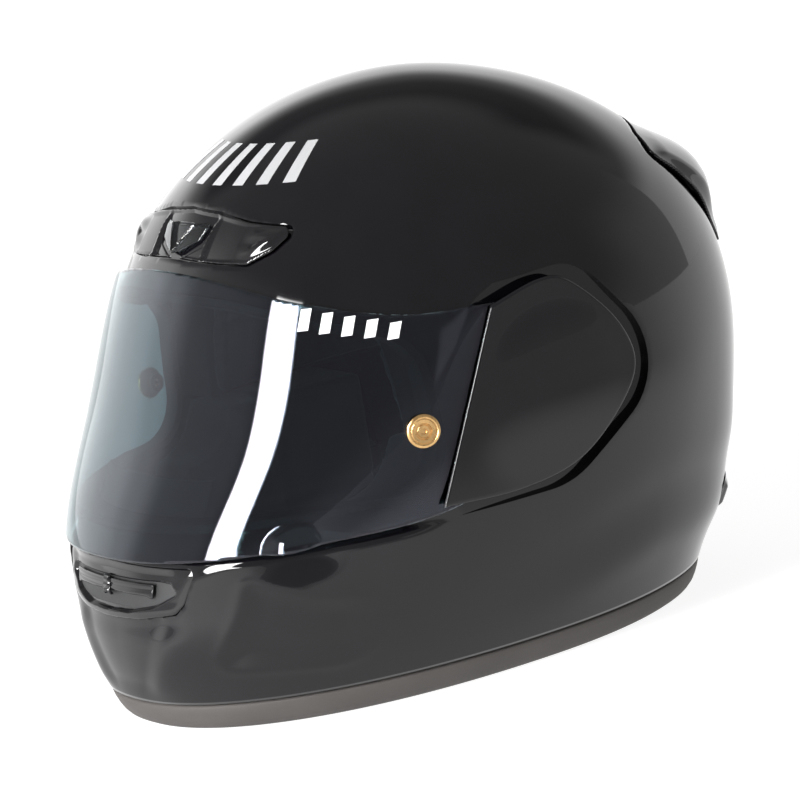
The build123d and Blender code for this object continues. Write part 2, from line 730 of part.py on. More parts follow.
def d_ring(bar_x, bar_z):
    """A D ring lying flat, its straight bar along Y at bar_x and its bow towards the middle."""
    half = STRAP_W / 2 + 6
    with BuildPart() as ring:
        with BuildLine() as path:
            FilletPolyline(
                (bar_x, RIVET_Y - half, bar_z),
                (bar_x, RIVET_Y + half, bar_z),
                (bar_x + RING_BOW, RIVET_Y + half - 3, bar_z),
                (bar_x + RING_BOW, RIVET_Y - half + 3, bar_z),
                radius=(4, 4, 9, 9),
                close=True,
            )
        with BuildSketch(Plane(path.line @ 0, z_dir=path.line % 0)):
            Circle(RING_WIRE / 2)
        sweep(path=path.line)
    return ring.part


for name, (bar_x, bar_z) in zip(("d_ring_lower", "d_ring_upper"), RING_BARS):
    finish(name, d_ring(-bar_x, bar_z))

with BuildPart() as strap_snap:
    with Locations((STRAP_ENDS[1] + 8, RIVET_Y, FLOOR_Z + STRAP_T + 1.2)):
        Cylinder(6.5, 2.2)
finish("strap_snap", strap_snap.part)
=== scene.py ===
import math

import bmesh
import bpy
import numpy as np
from mathutils import Matrix, Vector


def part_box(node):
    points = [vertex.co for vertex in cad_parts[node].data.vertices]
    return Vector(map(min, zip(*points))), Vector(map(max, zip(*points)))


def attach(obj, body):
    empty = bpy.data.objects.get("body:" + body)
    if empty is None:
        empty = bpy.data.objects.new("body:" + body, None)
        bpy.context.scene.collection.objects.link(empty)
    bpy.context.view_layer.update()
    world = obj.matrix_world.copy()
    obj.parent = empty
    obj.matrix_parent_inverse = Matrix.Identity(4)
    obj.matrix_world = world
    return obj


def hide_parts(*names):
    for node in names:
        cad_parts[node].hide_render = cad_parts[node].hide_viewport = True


# Looks for a full-face helmet. Shapes are worked out in millimetres in the row frame: +X is the
# wearer's left, -Y the front, +Z up. They become metres when a mesh is made.
MM = 0.001
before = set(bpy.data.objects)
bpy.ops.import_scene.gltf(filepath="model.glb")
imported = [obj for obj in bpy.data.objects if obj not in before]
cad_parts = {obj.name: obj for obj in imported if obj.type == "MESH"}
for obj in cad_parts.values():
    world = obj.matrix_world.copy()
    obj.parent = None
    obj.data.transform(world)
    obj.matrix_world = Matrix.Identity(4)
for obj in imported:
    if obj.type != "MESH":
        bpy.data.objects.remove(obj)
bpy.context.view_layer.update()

# ---------------------------------------------------------------- the form of the helmet
# Each station: height, front reach, rear reach, half width, y of the widest point, and how square
# the plan is in front and behind. It is the same form as the CAD model's.
STATIONS = np.array(
    [
        (-70.0, -139.0, 109.0, 78.0, -2.0, 2.20, 2.15),
        (0.0, -155.0, 126.5, 94.0, -1.0, 2.20, 2.15),
        (15.0, -160.0, 131.0, 101.0, -1.0, 2.20, 2.15),
        (45.0, -163.5, 147.5, 112.0, 1.0, 2.30, 2.15),
        (85.0, -156.0, 159.0, 121.0, 3.0, 2.30, 2.10),
        (125.0, -136.0, 164.0, 125.0, 5.0, 2.25, 2.10),
        (158.0, -122.0, 160.5, 122.0, 7.0, 2.20, 2.10),
        (192.0, -107.0, 146.5, 110.0, 9.0, 2.15, 2.10),
        (221.0, -85.0, 120.0, 87.0, 11.0, 2.10, 2.05),
        (241.0, -57.0, 87.0, 61.0, 13.0, 2.05, 2.05),
        (253.0, -25.0, 52.5, 33.0, 15.0, 2.00, 2.00),
        (257.5, 17.0, 17.0, 0.0, 17.0, 2.00, 2.00),
    ]
)
SHELL_T = 4.0
SHELL_BOTTOM = 13.4
POD_FLOOR_X = 116.2
VISOR_FLAT_X = 121.4
VISOR_OUT = 3.8
VISOR_T = 2.1
PIVOT = (0.0, 130.0)
ARM_R = 36.0


def cubic(knots, values, end_slope=None):
    """A natural cubic spline through values at knots, with a given slope at its end if there is one."""
    n = len(knots)
    h = np.diff(knots)
    rise = np.diff(values) / h
    matrix = np.zeros((n, n))
    right = np.zeros(n)
    matrix[0, 0] = 1.0
    for i in range(1, n - 1):
        matrix[i, i - 1 : i + 2] = (h[i - 1], 2 * (h[i - 1] + h[i]), h[i])
        right[i] = 6 * (rise[i] - rise[i - 1])
    matrix[-1, -1] = 1.0
    if end_slope is not None:
        matrix[-1, -2:] = (h[-1], 2 * h[-1])
        right[-1] = 6 * (end_slope - rise[-1])
    bend = np.linalg.solve(matrix, right)

    def at(t):
        i = np.clip(np.searchsorted(knots, t) - 1, 0, n - 2)
        step = h[i]
        u = t - knots[i]
        v = knots[i + 1] - t
        curved = (bend[i] * v**3 + bend[i + 1] * u**3) / (6 * step)
        low = (values[i] / step - bend[i] * step / 6) * v
        return curved + low + (values[i + 1] / step - bend[i + 1] * step / 6) * u

    return at


def knot_places():
    z, front, rear, width = STATIONS[:, :4].T
    across = np.hypot(np.diff(z), np.diff(width))
    steps = np.hypot(across, 0.5 * np.hypot(np.diff(front), np.diff(rear)))
    return np.concatenate([[0.0], np.cumsum(steps)])


KNOTS = knot_places()
T_END = KNOTS[-1]
height = cubic(KNOTS, STATIONS[:, 0], 0.0)
front_reach = cubic(KNOTS, STATIONS[:, 1])
rear_reach = cubic(KNOTS, STATIONS[:, 2])
half_width = cubic(KNOTS, STATIONS[:, 3])
widest_y = cubic(KNOTS, STATIONS[:, 4])
front_square = cubic(KNOTS, STATIONS[:, 5])
rear_square = cubic(KNOTS, STATIONS[:, 6])
DENSE_T = np.linspace(0.0, T_END, 4000)
DENSE_Z = height(DENSE_T)


def t_of(z):
    return np.interp(z, DENSE_Z, DENSE_T)


def power(value, exponent):
    return np.sign(value) * np.abs(value) ** exponent


def skin(t, a):
    """A point of the form: t runs up from the rim to the crown, a runs round from the front."""
    across, along = np.sin(a), np.cos(a)
    square = np.where(along > 0, front_square(t), rear_square(t))
    widest = widest_y(t)
    length = np.where(along > 0, widest - front_reach(t), rear_reach(t) - widest)
    x = half_width(t) * power(across, 2 / square)
    y = widest - length * power(along, 2 / square)
    return np.stack([x, y, height(t)], -1)


def normal(t, a, place=skin):
    """The outward unit normal of a surface given as place(t, a)."""
    du, dv = 0.3, 0.003
    up = place(t + du, a) - place(t - du, a)
    around = place(t, a + dv) - place(t, a - dv)
    n = np.cross(around, up)
    size = np.linalg.norm(n, axis=-1, keepdims=True)
    return np.where(size > 1e-9, n / np.maximum(size, 1e-9), (0.0, 0.0, 1.0))


def raised(t, a, out):
    """The form moved out along its normal."""
    return skin(t, a) + np.asarray(out)[..., None] * normal(t, a)


def ramp(value, low, high):
    """0 below low, 1 above high, and smooth between; low may be above high."""
    s = np.clip((value - low) / (high - low), 0.0, 1.0)
    return s * s * (3 - 2 * s)


def bump(value, centre, width):
    return np.exp(-(((value - centre) / width) ** 2))


def spread_columns(count, low=-math.pi, high=math.pi):
    """Angles round the form whose points are evenly spaced at cheek height."""
    dense = np.linspace(low, high, 4001)
    points = skin(np.full(dense.shape, t_of(100.0)), dense)
    arc = np.concatenate([[0.0], np.cumsum(np.linalg.norm(np.diff(points, axis=0), axis=1))])
    return np.interp(np.linspace(0.0, arc[-1], count), arc, dense)


# ---------------------------------------------------------------- outlines
STRAIGHT = 1.55  # half the angle at a corner, in radians, above which it stays as it is


def rounded(corners, radii, steps=10):
    """A closed outline with an arc at each corner that has a radius."""
    corners = np.array(corners, float)
    points = []
    for k, (corner, r) in enumerate(zip(corners, radii)):
        u = corners[k - 1] - corner
        v = corners[(k + 1) % len(corners)] - corner
        u /= np.linalg.norm(u)
        v /= np.linalg.norm(v)
        half = math.acos(np.clip(u @ v, -1, 1)) / 2
        if r <= 0 or half > STRAIGHT:
            points.append(corner)
            continue
        middle = (u + v) / np.linalg.norm(u + v)
        centre = corner + middle * r / math.sin(half)
        start = corner + u * r / math.tan(half) - centre
        end = corner + v * r / math.tan(half) - centre
        first = math.atan2(start[1], start[0])
        turn = (math.atan2(end[1], end[0]) - first + math.pi) % (2 * math.pi) - math.pi
        for s in np.linspace(0, 1, steps):
            angle = first + turn * s
            points.append(centre + r * np.array([math.cos(angle), math.sin(angle)]))
    return np.array(points)


def flowing(points, steps=12, closed=False):
    """A smooth curve through points."""
    p = np.array(points, float)
    if closed:
        p = np.concatenate([p[-1:], p, p[:2]])
    else:
        p = np.concatenate([[2 * p[0] - p[1]], p, [2 * p[-1] - p[-2]]])
    out = []
    for k in range(1, len(p) - 2):
        for s in np.linspace(0, 1, steps, endpoint=False):
            a, b, c, d = p[k - 1 : k + 3]
            out.append(
                0.5 * (2 * b + (c - a) * s + (2 * a - 5 * b + 4 * c - d) * s * s
                       + (3 * b - a - 3 * c + d) * s**3)
            )
    if not closed:
        out.append(p[-2])
    return np.array(out)


def signed(outline, q):
    """Distance from points q to a closed outline, negative inside."""
    flat = q.reshape(-1, 2)
    best = np.full(len(flat), 1e9)
    inside = np.zeros(len(flat), bool)
    for p, n in zip(outline, np.roll(outline, -1, axis=0)):
        e = n - p
        length = e @ e
        if length < 1e-12:
            continue
        w = flat - p
        s = np.clip((w @ e) / length, 0, 1)
        gap = w - s[:, None] * e
        best = np.minimum(best, np.einsum("ij,ij->i", gap, gap))
        crosses = (p[1] > flat[:, 1]) != (n[1] > flat[:, 1])
        rise = n[1] - p[1] if abs(n[1] - p[1]) > 1e-12 else 1e-12
        inside ^= crosses & (flat[:, 0] < p[0] + (flat[:, 1] - p[1]) * e[0] / rise)
    return (np.sqrt(best) * np.where(inside, -1, 1)).reshape(q.shape[:-1])


def grown(outline, amount):
    """An outline moved out along its own normals."""
    before = np.roll(outline, 1, axis=0)
    after = np.roll(outline, -1, axis=0)
    along = after - before
    along /= np.maximum(np.linalg.norm(along, axis=1, keepdims=True), 1e-9)
    area = np.sum(outline[:, 0] * after[:, 1] - after[:, 0] * outline[:, 1])
    return outline + amount * np.sign(area) * np.stack([along[:, 1], -along[:, 0]], 1)


SIDE_AXES = [1, 2]
FRONT_AXES = [0, 2]


class Region:
    """Part of the form, given by an outline seen along X or along Y, on one side."""

    def __init__(self, outline, axes, where):
        self.outline = outline
        self.axes = axes
        self.where = where

    def distance(self, points):
        d = np.full(points.shape[:-1], 1e3)
        near = self.where(points)
        d[near] = signed(self.outline, points[near][:, self.axes])
        return d


EYEPORT = Region(
    rounded(
        [(-200, 200), (-106, 184), (-84, 171), (-52, 163), (-52, 93), (-200, 88.3)],
        (0, 30, 30, 24, 24, 0),
    ),
    SIDE_AXES,
    lambda p: p[..., 1] < -40,
)
POD_OUTLINE = rounded(
    [(-56, 80.5), (8, 80.5), (58, 112), (56, 140), (28, 175.5), (-56, 173)],
    (0, 40, 28, 36, 26, 0),
)
PODS = {
    side: Region(POD_OUTLINE, SIDE_AXES, lambda p, side=side: side * p[..., 0] > 90)
    for side in (1, -1)
}


def mirrored(half):
    """A closed outline from its half with x >= 0, listed from the bottom or top middle round."""
    half = [tuple(p) for p in half]
    return half + [(-x, z) for x, z in reversed(half) if x > 0.01]


BROW_HALF = [
    (0, 198.5), (40, 196.5), (50, 196), (59, 200.5), (63.5, 207), (60, 210.5), (42, 213), (22, 217),
    (0, 218.5),
]
BROW_OUTLINE = rounded(mirrored(BROW_HALF), [0, 4, 4, 4, 3, 3, 3, 3, 0, 3, 3, 3, 3, 4, 4, 4], 5)
BROW = Region(BROW_OUTLINE, FRONT_AXES, lambda p: p[..., 1] < -30)
CHIN_HALF = [(0, 77.5), (57, 76), (50, 60), (45, 55.5), (24, 52.5), (0, 51.5)]
CHIN_OUTLINE = rounded(mirrored(CHIN_HALF), [0, 3, 6, 6, 10, 0, 10, 6, 6, 3], 6)
CHIN = Region(CHIN_OUTLINE, FRONT_AXES, lambda p: p[..., 1] < -60)
SPOILER_HALF = [
    (0, 217), (38, 215.5), (58, 211), (73, 202), (72, 188), (64, 166), (59, 151.5), (0, 151.5),
]
SPOILER_RADII = [0, 20, 14, 8, 14, 20, 3, 0, 3, 20, 14, 8, 14, 20]
SPOILER_OUTLINE = rounded(mirrored(SPOILER_HALF), SPOILER_RADII, 6)
SPOILER = Region(SPOILER_OUTLINE, FRONT_AXES, lambda p: p[..., 1] > 50)


def snap(t, a, place, region):
    """Moves points of a surface onto a region's edge, along the surface."""
    t, a = t.copy(), a.copy()
    for _ in range(4):
        here = place(t, a)
        d = region.distance(here)
        up = place(t + 0.2, a)
        around = place(t, a + 0.002)
        size_t = np.linalg.norm(up - here, axis=-1) / 0.2
        size_a = np.linalg.norm(around - here, axis=-1) / 0.002
        slope_t = (region.distance(up) - d) / 0.2 / np.maximum(size_t, 1e-6)
        slope_a = (region.distance(around) - d) / 0.002 / np.maximum(size_a, 1e-6)
        total = slope_t**2 + slope_a**2
        usable = (total > 0.02) & (np.abs(d) < 12)
        step = np.where(usable, -d / np.maximum(total, 0.02), 0.0)
        t += np.clip(step * slope_t, -3, 3) / np.maximum(size_t, 1e-6)
        a += np.clip(step * slope_a, -3, 3) / np.maximum(size_a, 1e-6)
    return t, a


def touching(label, closed):
    """For each vertex of a grid, the lowest and highest label of the faces round it."""
    rows, cols = label.shape
    low = np.full((rows + 1, cols + (0 if closed else 1)), 99)
    high = np.full(low.shape, -1)
    for di in (0, 1):
        for dj in (0, 1):
            i = np.arange(rows)[:, None] + di
            j = np.arange(cols)[None, :] + dj
            if closed:
                j = j % cols
            np.minimum.at(low, (i, j), label)
            np.maximum.at(high, (i, j), label)
    return low, high


class Faces:
    """Vertices and quads, gathered piece by piece."""

    def __init__(self):
        self.points = []
        self.quads = []
        self.count = 0

    def add(self, points, quads):
        self.points.append(np.asarray(points, float).reshape(-1, 3))
        self.quads.append(np.asarray(quads, int).reshape(-1, 4) + self.count)
        self.count += len(self.points[-1])

    def grid(self, points, closed=False, flip=False):
        """Adds a grid of points; closed joins its last column to its first."""
        points = np.asarray(points, float)
        self.add(points, grid_quads(points.shape[0], points.shape[1], closed, flip))

    def made(self):
        return np.concatenate(self.points), np.concatenate(self.quads)


def grid_quads(rows, cols, closed=False, flip=False):
    index = np.arange(rows * cols).reshape(rows, cols)
    after = np.roll(index, -1, axis=1)
    if not closed:
        index, after = index[:, :-1], after[:, :-1]
    quads = np.stack([index[:-1], after[:-1], after[1:], index[1:]], -1).reshape(-1, 4)
    return quads[:, ::-1] if flip else quads


def make_object(name, points, quads, merge=1e-6):
    """A smooth mesh object from points in millimetres and quads. Points that coincide are merged."""
    used = np.unique(quads)
    renamed = np.zeros(len(points), int)
    renamed[used] = np.arange(len(used))
    mesh = bpy.data.meshes.new(name)
    mesh.from_pydata((points[used] * MM).tolist(), [], renamed[quads].tolist())
    bm = bmesh.new()
    bm.from_mesh(mesh)
    bmesh.ops.remove_doubles(bm, verts=bm.verts, dist=merge)
    bmesh.ops.dissolve_degenerate(bm, edges=bm.edges, dist=merge)
    bm.to_mesh(mesh)
    bm.free()
    mesh.shade_smooth()
    obj = bpy.data.objects.new(name, mesh)
    bpy.context.scene.collection.objects.link(obj)
    return obj


def sharp_by_angle(obj, degrees):
    """Marks edges sharper than an angle, so that shading breaks there."""
    obj.data.set_sharp_from_angle(angle=math.radians(degrees))


def solidify(obj, thickness):
    """Gives a sheet its thickness inwards, and keeps the shading of its face clear of its rim."""
    modifier = obj.modifiers.new("thickness", "SOLIDIFY")
    modifier.thickness = thickness * MM
    modifier.offset = -1.0
    modifier.use_even_offset = False
    weighted = obj.modifiers.new("weighted", "WEIGHTED_NORMAL")
    weighted.keep_sharp = True


def cap(obj, sides=0):
    """Fills a mesh's open edges, of up to so many sides where given, and turns its faces outwards."""
    bm = bmesh.new()
    bm.from_mesh(obj.data)
    bmesh.ops.holes_fill(bm, edges=[e for e in bm.edges if e.is_boundary], sides=sides)
    bmesh.ops.recalc_face_normals(bm, faces=bm.faces)
    bm.to_mesh(obj.data)
    bm.free()


def centre_points(t, a, place, closed):
    """A point of the surface at the middle of each face of a grid."""
    after = np.roll(a, -1, axis=1)
    if closed:
        after[:, -1] += 2 * math.pi
    else:
        after = after[:, :-1]
    first = a if closed else a[:, :-1]
    t_first = t if closed else t[:, :-1]
    middle_a = (first[:-1] + after[:-1] + after[1:] + first[1:]) / 4
    middle_t = (t_first[:-1] + t_first[1:]) / 2
    return place(middle_t, middle_a)


def carved(t, a, place, opening, recesses, roll):
    """A closed surface with an opening and recesses. Each recess is (region, floor, roll)."""
    centres = centre_points(t, a, place, True)
    label = np.zeros(centres.shape[:2], int)
    for k, (region, _, _) in enumerate(recesses):
        label[region.distance(centres) < 0] = k + 2
    label[opening.distance(centres) < 0] = 1
    regions = [None, opening] + [r[0] for r in recesses]
    rolls = [0.0, roll] + [r[2] for r in recesses]
    rows, cols = t.shape
    depth = np.zeros(t.shape)
    done = np.zeros(t.shape, bool)
    for k in range(1, len(regions)):
        own = touching(np.where(label == k, 1, 0), True)
        edge = (own[0] == 0) & (own[1] == 1) & ~done
        t[edge], a[edge] = snap(t[edge], a[edge], place, regions[k])
        depth[edge] = rolls[k]
        done |= edge
    points = place(t, a)
    points = points - depth[..., None] * normal(t, a)
    index = np.arange(rows * cols).reshape(rows, cols)
    face = np.stack(
        [index[:-1], np.roll(index, -1, 1)[:-1], np.roll(index, -1, 1)[1:], index[1:]], -1
    )
    out = [points.reshape(-1, 3)]
    quads = [face[label == 0]]
    count = rows * cols
    for k, (_, floor, _) in enumerate(recesses):
        mine = label == k + 2
        out.append(floor(t, a, points).reshape(-1, 3))
        quads.append(face[mine] + count)
        quads.append(walls(label == 0, mine, index, count))
        count += rows * cols
    return np.concatenate(out), np.concatenate(quads)


def walls(plain, mine, index, shift):
    """The quads that join a surface's edge to the edge of a recess's floor."""
    right = np.roll(index, -1, 1)
    found = []
    beside = np.roll(mine, -1, 1)
    plain_beside = np.roll(plain, -1, 1)
    pairs = (
        (plain & beside, right[:-1], right[1:]),
        (mine & plain_beside, right[1:], right[:-1]),
        (plain[:-1] & mine[1:], right[1:-1], index[1:-1]),
        (mine[:-1] & plain[1:], index[1:-1], right[1:-1]),
    )
    for mask, u, v in pairs:
        u, v = u[mask], v[mask]
        found.append(np.stack([v, u, u + shift, v + shift], -1))
    return np.concatenate(found)


def trimmed(t, a, place, region):
    """The part of a surface inside a region, with its edge on the outline."""
    centres = centre_points(t, a, place, False)
    keep = region.distance(centres) < 0
    low, high = touching(np.where(keep, 1, 0), False)
    edge = (low == 0) & (high == 1)
    t[edge], a[edge] = snap(t[edge], a[edge], place, region)
    rows, cols = t.shape
    index = np.arange(rows * cols).reshape(rows, cols)
    face = np.stack([index[:-1, :-1], index[:-1, 1:], index[1:, 1:], index[1:, :-1]], -1)
    return t, a, face[keep]


# ---------------------------------------------------------------- materials
def new_material(name):
    material = bpy.data.materials.new(name)
    material.use_nodes = True
    tree = material.node_tree
    shader = tree.nodes["Principled BSDF"]
    return material, tree, shader


def noise_node(tree, scale, detail):
    places = tree.nodes.new("ShaderNodeTexCoord")
    texture = tree.nodes.new("ShaderNodeTexNoise")
    texture.inputs["Scale"].default_value = scale
    texture.inputs["Detail"].default_value = detail
    tree.links.new(places.outputs["Object"], texture.inputs["Vector"])
    return texture.outputs["Fac"]


def ramp_node(tree, value, stops):
    node = tree.nodes.new("ShaderNodeValToRGB")
    while len(node.color_ramp.elements) < len(stops):
        node.color_ramp.elements.new(0.5)
    for element, (place, colour) in zip(node.color_ramp.elements, stops):
        element.position = place
        element.color = (*colour, 1.0)
    tree.links.new(value, node.inputs["Fac"])
    return node.outputs["Color"]


def range_node(tree, value, low, high):
    node = tree.nodes.new("ShaderNodeMapRange")
    node.inputs["To Min"].default_value = low
    node.inputs["To Max"].default_value = high
    tree.links.new(value, node.inputs["Value"])
    return node.outputs["Result"]


def bump_node(tree, shader, value, strength, distance):
    node = tree.nodes.new("ShaderNodeBump")
    node.inputs["Strength"].default_value = strength
    node.inputs["Distance"].default_value = distance * MM
    tree.links.new(value, node.inputs["Height"])
    tree.links.new(node.outputs["Normal"], shader.inputs["Normal"])


POLYCARBONATE_IOR = 1.5


def shade(base, spread):
    """A darker and a lighter version of a colour."""
    return tuple(c * (1 - spread) for c in base), tuple(min(c * (1 + spread), 1.0) for c in base)


def plastic(name, base, rough, spread=0.1, grain=900.0, strength=0.05, depth=0.05, **sockets):
    """Moulded or painted surface: slight colour and gloss variation and a fine grain."""
    material, tree, shader = new_material(name)
    dark, light = shade(base, spread)
    cloud = noise_node(tree, 35.0, 4.0)
    tree.links.new(ramp_node(tree, cloud, [(0.3, dark), (0.7, light)]), shader.inputs["Base Color"])
    fine = noise_node(tree, grain, 2.0)
    low, high = rough
    tree.links.new(range_node(tree, fine, low, high), shader.inputs["Roughness"])
    bump_node(tree, shader, fine, strength, depth)
    for key, value in sockets.items():
        shader.inputs[key.replace("_", " ")].default_value = value
    return material


def fabric(name, base, scale=900.0, strength=0.5, spread=0.35):
    """Knitted or woven cloth: crossed threads in bump and colour, and a soft sheen."""
    material, tree, shader = new_material(name)
    places = tree.nodes.new("ShaderNodeTexCoord")
    waves = []
    for direction in ("X", "Z"):
        wave = tree.nodes.new("ShaderNodeTexWave")
        wave.bands_direction = direction
        wave.inputs["Scale"].default_value = scale
        wave.inputs["Distortion"].default_value = 0.6
        tree.links.new(places.outputs["Object"], wave.inputs["Vector"])
        waves.append(wave.outputs["Fac"])
    cross = tree.nodes.new("ShaderNodeMath")
    cross.operation = "MULTIPLY"
    tree.links.new(waves[0], cross.inputs[0])
    tree.links.new(waves[1], cross.inputs[1])
    dark, light = shade(base, spread)
    cloud = noise_node(tree, 60.0, 5.0)
    blend = tree.nodes.new("ShaderNodeMath")
    blend.operation = "ADD"
    tree.links.new(cross.outputs[0], blend.inputs[0])
    tree.links.new(range_node(tree, cloud, -0.2, 0.4), blend.inputs[1])
    colour = ramp_node(tree, blend.outputs[0], [(0.1, dark), (0.8, light)])
    tree.links.new(colour, shader.inputs["Base Color"])
    shader.inputs["Roughness"].default_value = 0.9
    shader.inputs["Sheen Weight"].default_value = 0.3
    shader.inputs["Sheen Roughness"].default_value = 0.5
    bump_node(tree, shader, cross.outputs[0], strength, 0.25)
    return material


def glass(name, tint, rough=0.0, specular=(1.0, 1.0, 1.0)):
    """Tinted polycarbonate, its tint a little uneven."""
    material, tree, shader = new_material(name)
    cloud = noise_node(tree, 14.0, 2.0)
    dark, light = shade(tint, 0.04)
    tree.links.new(ramp_node(tree, cloud, [(0.3, dark), (0.7, light)]), shader.inputs["Base Color"])
    shader.inputs["Transmission Weight"].default_value = 1.0
    shader.inputs["IOR"].default_value = POLYCARBONATE_IOR
    shader.inputs["Roughness"].default_value = rough
    shader.inputs["Specular Tint"].default_value = (*specular, 1.0)
    return material


def metal(name, base, rough):
    """Bare metal with fine variation in its colour, gloss and surface."""
    material, tree, shader = new_material(name)
    fine = noise_node(tree, 500.0, 4.0)
    dark, light = shade(base, 0.12)
    tree.links.new(ramp_node(tree, fine, [(0.3, dark), (0.7, light)]), shader.inputs["Base Color"])
    tree.links.new(range_node(tree, fine, rough - 0.06, rough + 0.1), shader.inputs["Roughness"])
    shader.inputs["Metallic"].default_value = 1.0
    bump_node(tree, shader, fine, 0.1, 0.02)
    return material


PAINT_IOR = 1.47
PAINT = plastic(
    "shell_paint", (0.0030, 0.0026, 0.0036), (0.02, 0.06), 0.2, 2600.0, 0.012, 0.01, IOR=PAINT_IOR
)
COVER = plastic(
    "cover_gloss", (0.0032, 0.0029, 0.0040), (0.02, 0.07), 0.2, 2200.0, 0.012, 0.01, IOR=PAINT_IOR
)
VENT = plastic("vent_gloss", (0.0060, 0.0055, 0.0064), (0.05, 0.12), 0.15, 1500.0, 0.03, 0.02, IOR=1.5)
RUBBER = plastic("rim_rubber", (0.060, 0.054, 0.051), (0.62, 0.80), 0.10, 1700.0, 0.35, 0.12)
SEAL = plastic("seal_rubber", (0.012, 0.012, 0.012), (0.5, 0.7), 0.2, 1200.0, 0.25, 0.1)
FOAM = plastic("foam", (0.011, 0.011, 0.012), (0.75, 0.95), 0.35, 420.0, 0.6, 0.4)
BASE_PLASTIC = plastic("base_plastic", (0.022, 0.022, 0.023), (0.35, 0.5), 0.15, 1400.0, 0.15, 0.06)
MESH_PLASTIC = plastic("mesh_plastic", (0.015, 0.015, 0.016), (0.45, 0.6), 0.2, 1400.0, 0.2, 0.08)
LINER = fabric("liner_fabric", (0.012, 0.012, 0.014), 700.0)
CURTAIN = fabric("curtain_fabric", (0.016, 0.016, 0.017), 500.0)
WEBBING = fabric("webbing", (0.018, 0.018, 0.019), 420.0, 0.8)
SMOKE = glass("visor_smoke", (0.19, 0.275, 0.295), specular=(0.88, 0.84, 1.0))
VENT_SMOKE = glass("vent_smoke", (0.16, 0.18, 0.20), 0.03)
BRASS = metal("post_brass", (0.70, 0.44, 0.19), 0.26)
STEEL = metal("screw_steel", (0.55, 0.55, 0.56), 0.28)
RING_STEEL = metal("ring_steel", (0.62, 0.62, 0.63), 0.16)
DECAL = plastic("decal_silver", (0.42, 0.42, 0.43), (0.25, 0.35), 0.06, 1500.0, 0.05, 0.02)
DECAL_WHITE = plastic("decal_white", (0.80, 0.81, 0.82), (0.3, 0.4), 0.04, 1500.0, 0.05, 0.02)


def dress(obj, material, body, slot, *nodes):
    """Gives a piece its material and its body, and hides the CAD nodes that it stands for; its slot is not
    used.
    """
    obj.data.materials.clear()
    obj.data.materials.append(material)
    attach(obj, body)
    if nodes:
        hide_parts(*nodes)
    return obj


def paint_node(node, material):
    """Gives a CAD node that stays a finished material."""
    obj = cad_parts[node]
    obj.data.materials.clear()
    obj.data.materials.append(material)


# ---------------------------------------------------------------- outer shell
SHELL_COLS = 640
SHELL_ROWS = 250
CREASE_Y = [-60.0, 0.0, 16.0, 33.0, 59.0, 90.0, 123.0, 150.0]
CREASE_Z = [33.0, 38.5, 41.0, 45.0, 49.0, 48.0, 44.0, 41.0]
BOWL = np.array((90.5, -112.5, 77.0))
BOWL_R = 20.0
BOWL_DEPTH = 5.0
EDGE_ROLL_Z = 75.5
EDGE_ROLL_R = 5.5
PANEL_OUTLINE = rounded(
    [(-80, 24), (-146, 30), (-134, 69), (-112, 58), (-80, 52)], (22, 6, 3, 14, 12), 8
)


def sculpt(p):
    """How far the shell's surface stands off the form, for its soft creases and dents."""
    x, y, z = np.moveaxis(p, -1, 0)
    crease = np.interp(y, CREASE_Y, CREASE_Z)
    start = ramp(y, -45.0, 60.0)
    out = start * (bump(z, crease - 9.0, 10.0) - bump(z, crease + 12.0, 11.0))
    from_bowl = np.stack([(x - BOWL[0]) * 0.8, (y - BOWL[1]) * 0.8, (z - BOWL[2]) * 1.35], -1)
    out -= BOWL_DEPTH * ramp(np.linalg.norm(from_bowl, axis=-1), BOWL_R, 1.0)
    front = ramp(y, -50.0, -75.0)
    over = np.clip(z - EDGE_ROLL_Z, 0.0, 0.9 * EDGE_ROLL_R)
    roll = EDGE_ROLL_R - np.sqrt(EDGE_ROLL_R**2 - over**2)
    out += front * (1.5 * ramp(z, 58.0, 79.0) * ramp(z, 110.0, 90.0) - roll * ramp(z, 110.0, 100.0))
    low_front = (y < -60) & (z < 80)
    panel = np.full(y.shape, 99.0)
    panel[low_front] = signed(PANEL_OUTLINE, p[low_front][:, SIDE_AXES])
    crescent = 0.5 * bump(panel, 0.8, 2.2) - 1.8 * ramp(panel, 0.5, -9.0)
    out += crescent * ramp(y, -80.0, -105.0)
    side = np.abs(x)
    corner = 44.0 - (54.0 - z) * 0.55
    chin = ramp(y, -100.0, -130.0) * ramp(z, 80.0, 70.0) * ramp(z, 12.0, 22.0)
    out += chin * (0.6 * bump(side, corner + 3.0, 8.0) - 1.6 * ramp(side, corner + 1.0, corner - 13.0))
    below = (z < 60) & (y < -100)
    tuck = np.full(y.shape, 99.0)
    tuck[below] = CHIN.distance(p[below])
    out -= 1.5 * ramp(tuck, 13.0, 1.0) * ramp(z, 60.0, 50.0) * ramp(side, 54.0, 40.0)
    return out


def shell_skin(t, a):
    p = skin(t, a)
    return p + sculpt(p)[..., None] * normal(t, a)


def pod_floor(_t, _a, points):
    floor = points.copy()
    floor[..., 0] = np.clip(points[..., 0], -POD_FLOOR_X, POD_FLOOR_X)
    return floor


def sunk(depth):
    return lambda t, a, points: points - depth * normal(t, a)


